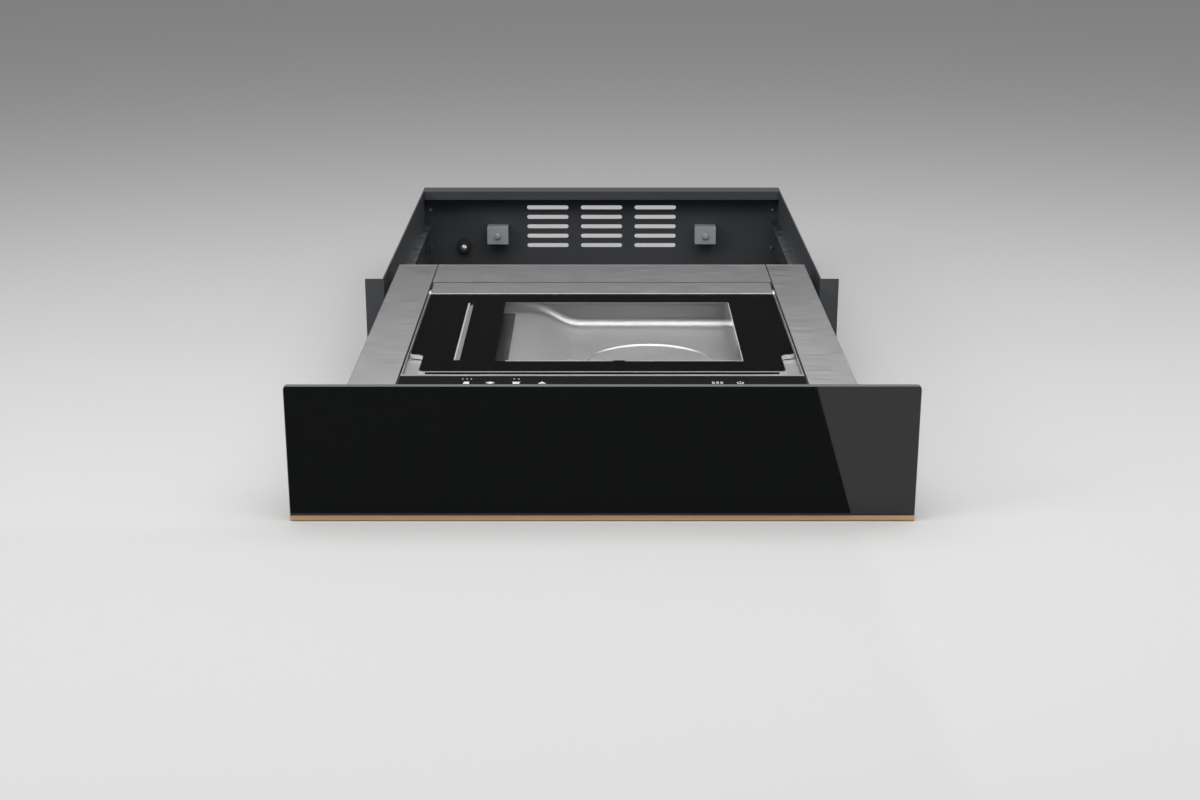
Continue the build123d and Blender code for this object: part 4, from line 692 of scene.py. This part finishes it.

# The lid: toughened glass with a polished edge and ground chamfers. The walls of the finger notches in
# its front corners are satin ground glass, coloured pale as a painted highlight. Under it is the 10 mm
# pressure pane. Clear resin bonds the two, so light passes them as one body.


def clear_glass(name, colour):
    """Clear glass that bends what is seen through it and lets the lamps reach what is behind."""
    material, tree, shader = new_finish(name, colour, 0.0, IOR=1.5, Transmission_Weight=1.0)
    path = put(tree, "ShaderNodeLightPath")
    through = put(tree, "ShaderNodeBsdfTransparent", {"Color": (*colour, 1)})
    mix = put(tree, "ShaderNodeMixShader", {0: path.outputs["Is Shadow Ray"], 1: shader.outputs[0],
                                            2: through.outputs[0]})
    tree.links.new(mix.outputs[0], tree.nodes["Material Output"].inputs["Surface"])
    smear = grain(tree, (40, 40, 40), 4)
    drive(tree, shader, "Roughness", between(tree, smear, 0.0, 0.012))
    return material


def faced(points, triangles, upward):
    """Triangles turned so that they all face up, or all down."""
    corner = points[triangles]
    one, two = corner[:, 1] - corner[:, 0], corner[:, 2] - corner[:, 0]
    wrong = (one[:, 0] * two[:, 1] - one[:, 1] * two[:, 0] > 0) != upward
    triangles[wrong] = triangles[wrong][:, ::-1]
    return triangles


def stepped_slab(wide, wide_normals, wide_profile, narrow, narrow_normals, narrow_profile):
    """Closed body of two slabs: the wide one's rings go from its top down, the narrow one's on from there.
    A flat face with a hole joins them, and a flat face closes each end. The faces start with the top, and
    the first ring of quads follows it."""
    rings = [np.column_stack((wide - inset * wide_normals, np.full(len(wide), height)))
             for inset, height in wide_profile]
    rings += [np.column_stack((narrow - inset * narrow_normals, np.full(len(narrow), height)))
              for inset, height in narrow_profile]
    starts = np.cumsum([0] + [len(ring) for ring in rings])
    points = np.concatenate(rings)
    faces = [np.arange(len(wide))]
    for ring in range(len(rings) - 1):
        start, below = starts[ring], starts[ring + 1]
        if ring == len(wide_profile) - 1:
            loops = [[tuple(point) for point in rings[ring]],
                     [tuple(point) for point in rings[ring + 1][::-1]]]
            order = np.concatenate((np.arange(len(wide)), len(wide) + np.arange(len(narrow))[::-1])) + start
            faces.extend(faced(points, order[np.array(tessellate_polygon(loops))], False))
        else:
            around = np.arange(len(rings[ring]))
            beside = (around + 1) % len(around)
            faces.extend(np.column_stack((around + below, beside + below, beside + start, around + start)))
    faces.append((np.arange(len(narrow)) + starts[-2])[::-1])
    return points, faces


lid_low, lid_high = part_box("lid_glass")
pane_low, pane_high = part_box("lid_pane")
notch_width = 14.2 * mm
notch_length = 57 * mm
notch_radius = 7 * mm
polish = 0.5 * mm
inner_x = lid_high.x - notch_width
notch_y = lid_low.y + notch_length
lid_corners = [(-lid_high.x, lid_high.y), (-lid_high.x, notch_y), (-inner_x, notch_y), (-inner_x, lid_low.y),
               (inner_x, lid_low.y), (inner_x, notch_y), (lid_high.x, notch_y), (lid_high.x, lid_high.y)]
rear_corner, pane_corner, corner_steps = 0.8 * mm, 8 * mm, 12
lid_radii = [rear_corner] + [notch_radius] * 6 + [rear_corner]
lid_outline, lid_normals = rounded_outline(lid_corners, lid_radii, corner_steps)
pane_outline, pane_normals = rectangle((pane_low.x, pane_high.x), (pane_low.y, pane_high.y), pane_corner,
                                       corner_steps)
lid_chamfer = 0.7 * mm
lid_profile = [(lid_chamfer, lid_high.z), (0, lid_high.z - lid_chamfer), (0, lid_low.z + polish),
               (polish, lid_low.z)]
pane_profile = [(0, pane_high.z), (0, pane_low.z + polish), (polish, pane_low.z)]
lid_clear = clear_glass("lid glass clear", (0.985, 0.99, 0.988))
ground_glass = uneven_gloss("ground glass edge", (0.17, 0.178, 0.176), (700, 700, 700), 3, 0.25, 0.45)
# Painted highlight: the notch walls' pale satin grey stands for the light they catch.
notch_satin_and_painted_highlight = uneven_gloss("notch satin glass and painted highlight", (0.56, 0.575, 0.57), (900, 900, 90), 3, 0.28, 0.5)
lid_glass = new_object("lid_glass_bonded", *stepped_slab(lid_outline, lid_normals, lid_profile, pane_outline,
                                                         pane_normals, pane_profile),
                       [lid_clear, ground_glass, notch_satin_and_painted_highlight], 40)
face_count = len(lid_glass.data.polygons)
face_number = np.arange(face_count)
face_middle = np.zeros(3 * face_count)
lid_glass.data.polygons.foreach_get("center", face_middle)
face_middle = face_middle.reshape(-1, 3)
chamfer = (face_number > 0) & (face_number <= len(lid_outline))
wall = (face_number > len(lid_outline)) & (face_number <= 2 * len(lid_outline))
in_notch = (np.abs(face_middle[:, 0]) > inner_x - notch_radius) & (face_middle[:, 1] < notch_y + notch_radius)
lid_glass.data.polygons.foreach_set("material_index", (chamfer + 2 * (wall & in_notch)).astype(np.int32))
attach(lid_glass, "lid")
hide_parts("lid_glass", "lid_pane")

# The black print: two coats of enamel on the lid glass's underside. It stops short of the glass's edge
# and leaves the window, with a small locating mark on its front edge, and the slit over the seal bar.


def pierced_sheet(outer, holes, bottom, top):
    """Closed sheet with holes: both faces are triangles between the outlines, and each outline has a wall."""
    outlines = [outer] + [hole[::-1] for hole in holes]
    flat = np.concatenate(outlines)
    count = len(flat)
    points = np.concatenate((np.column_stack((flat, np.full(count, bottom))),
                             np.column_stack((flat, np.full(count, top)))))
    loops = [[(x, y, 0) for x, y in outline] for outline in outlines]
    triangles = faced(points, np.array(tessellate_polygon(loops)), True)
    faces = list(triangles[:, ::-1]) + list(triangles + count)
    start = 0
    for outline in outlines:
        around = start + np.arange(len(outline))
        beside = np.roll(around, -1)
        faces.extend(np.column_stack((around, beside, beside + count, around + count)))
        start += len(outline)
    return points, faces


enamel = uneven_gloss("black enamel", (0.003, 0.003, 0.003), (500, 500, 500), 2, 0.3, 0.42,
                      Specular_IOR_Level=0.0)
window_x = np.array((-108, 141.6)) * mm
window_y = low[1] + np.array((127, 349.5)) * mm
slit_x = np.array((-149.3, -143.3)) * mm
slit_y = low[1] + np.array((130.7, 347.7)) * mm
mark_x, mark_half, mark_depth, mark_slant = 16.8 * mm, 5.5 * mm, 3 * mm, 1 * mm
window_corner, slit_corner, window_steps = 1.2 * mm, 0.8 * mm, 5
window = rectangle(window_x, window_y, window_corner, window_steps)[0]
mark = np.array([(mark_x - mark_half - mark_slant, 0), (mark_x - mark_half, mark_depth),
                 (mark_x + mark_half, mark_depth), (mark_x + mark_half + mark_slant, 0)]) + (0, window_y[0])
window = np.concatenate((window[:window_steps], mark, window[window_steps:]))
slit = rectangle(slit_x, slit_y, slit_corner)[0]
print_margin = 0.5 * mm
print_low = lid_low.z + 0.03 * mm
print_thickness = 0.06 * mm
lid_print = new_object("lid_print", *pierced_sheet(lid_outline - print_margin * lid_normals, [window, slit],
                                                   print_low, print_low + print_thickness), [enamel])
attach(lid_print, "lid")

# A fine line of silver ink, printed beside the black along the window's front, right and rear edges and
# along the slit's left one. The front line stops at the locating mark and at the cradle's right edge.
silver_ink = uneven_gloss("silver ink", (0.60, 0.60, 0.595), (1500, 1500, 1500), 2, 0.35, 0.55)
side_line, front_line, slit_line = 0.8 * mm, 2.2 * mm, 1.6 * mm
print_corner = 0.05 * mm
lines = [((cradle_right, mark[0, 0]), (window_y[0], window_y[0] + front_line)),
         ((mark[3, 0], window_x[1] - side_line), (window_y[0], window_y[0] + front_line)),
         ((window_x[1] - side_line, window_x[1]), (window_y[0], window_y[1])),
         ((window_x[0], window_x[1] - side_line), (window_y[1] - side_line, window_y[1])),
         ((slit_x[0], slit_x[0] + slit_line), (slit_y[0], slit_y[1]))]
window_line = printed("window_line", [rectangle(x, y, print_corner, 2)[0] for x, y in lines], 1,
                      print_low, print_low + print_thickness, silver_ink)
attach(window_line, "lid")

# The film that backs the slit, of a dull aluminium colour and stuck under the glass, so that the seal
# bar's place shows as a light stripe. It ends short of the slit's rear end, which stays dark.
slit_film = uneven_gloss("slit film", (0.26, 0.26, 0.26), (900, 60, 900), 3, 0.4, 0.6)
bare_end = 10 * mm
film_x, film_y = (slit_x[0] + slit_line, slit_x[1]), (slit_y[0], slit_y[1] - bare_end)
film_area = rectangle(film_x, film_y, print_corner, 2)[0]
film = printed("slit_film", [film_area], 1, print_low, print_low + print_thickness, slit_film)
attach(film, "lid")

# The inner parts below the deck: the die-cast pump with its carbon vanes, its enamelled motor, and the
# transformer that heats the seal bar, a laminated core round a taped coil on the chassis's floor.


def cast(name, colour):
    """Die-cast metal: dull, with a fine sand grain."""
    material, tree, shader = new_finish(name, colour, 0.5, 1.0)
    sand = grain(tree, (1200, 1200, 1200), 3)
    dark = tuple(part * 0.8 for part in colour)
    drive(tree, shader, "Base Color", tint(tree, sand, dark, colour))
    drive(tree, shader, "Roughness", between(tree, sand, 0.42, 0.6))
    relief(tree, shader, sand, 0.0001, 0.5)
    return material


pump_cast = cast("die-cast aluminium", (0.52, 0.52, 0.53))
dress(pump_cast, "pump_body")
motor_enamel = powder_coat("motor enamel", (0.03, 0.03, 0.032))
dress(motor_enamel, "pump_motor")


def core_and_coil(name, coil_lower, coil_upper):
    """A stack of varnished steel sheets, each with its own shade, and amber tape where the coil is."""
    material, tree, shader = new_finish(name, (0.10, 0.10, 0.105), 0.45)
    sheets = tint(tree, grain(tree, (2400, 12, 12), 2), (0.045, 0.045, 0.05), (0.17, 0.17, 0.175))
    turns = tint(tree, grain(tree, (60, 60, 1800), 3), (0.34, 0.17, 0.04), (0.55, 0.33, 0.09))
    coil = within(tree, coil_lower, coil_upper)
    drive(tree, shader, "Base Color", tint(tree, coil, sheets, turns))
    relief(tree, shader, grain(tree, (2400, 12, 12), 2), 0.00005, 0.5)
    return material


core_low, core_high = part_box("seal_transformer")
coil_bottom = core_low.z + 37.2 * mm
dress(core_and_coil("transformer", (core_low.x, core_low.y, coil_bottom),
                    (core_high.x, core_high.y, core_high.z + mm)), "seal_transformer")
carbon = moulded("carbon vane", (0.02, 0.02, 0.021), 0.35)
dress(carbon, "pump_vanes")
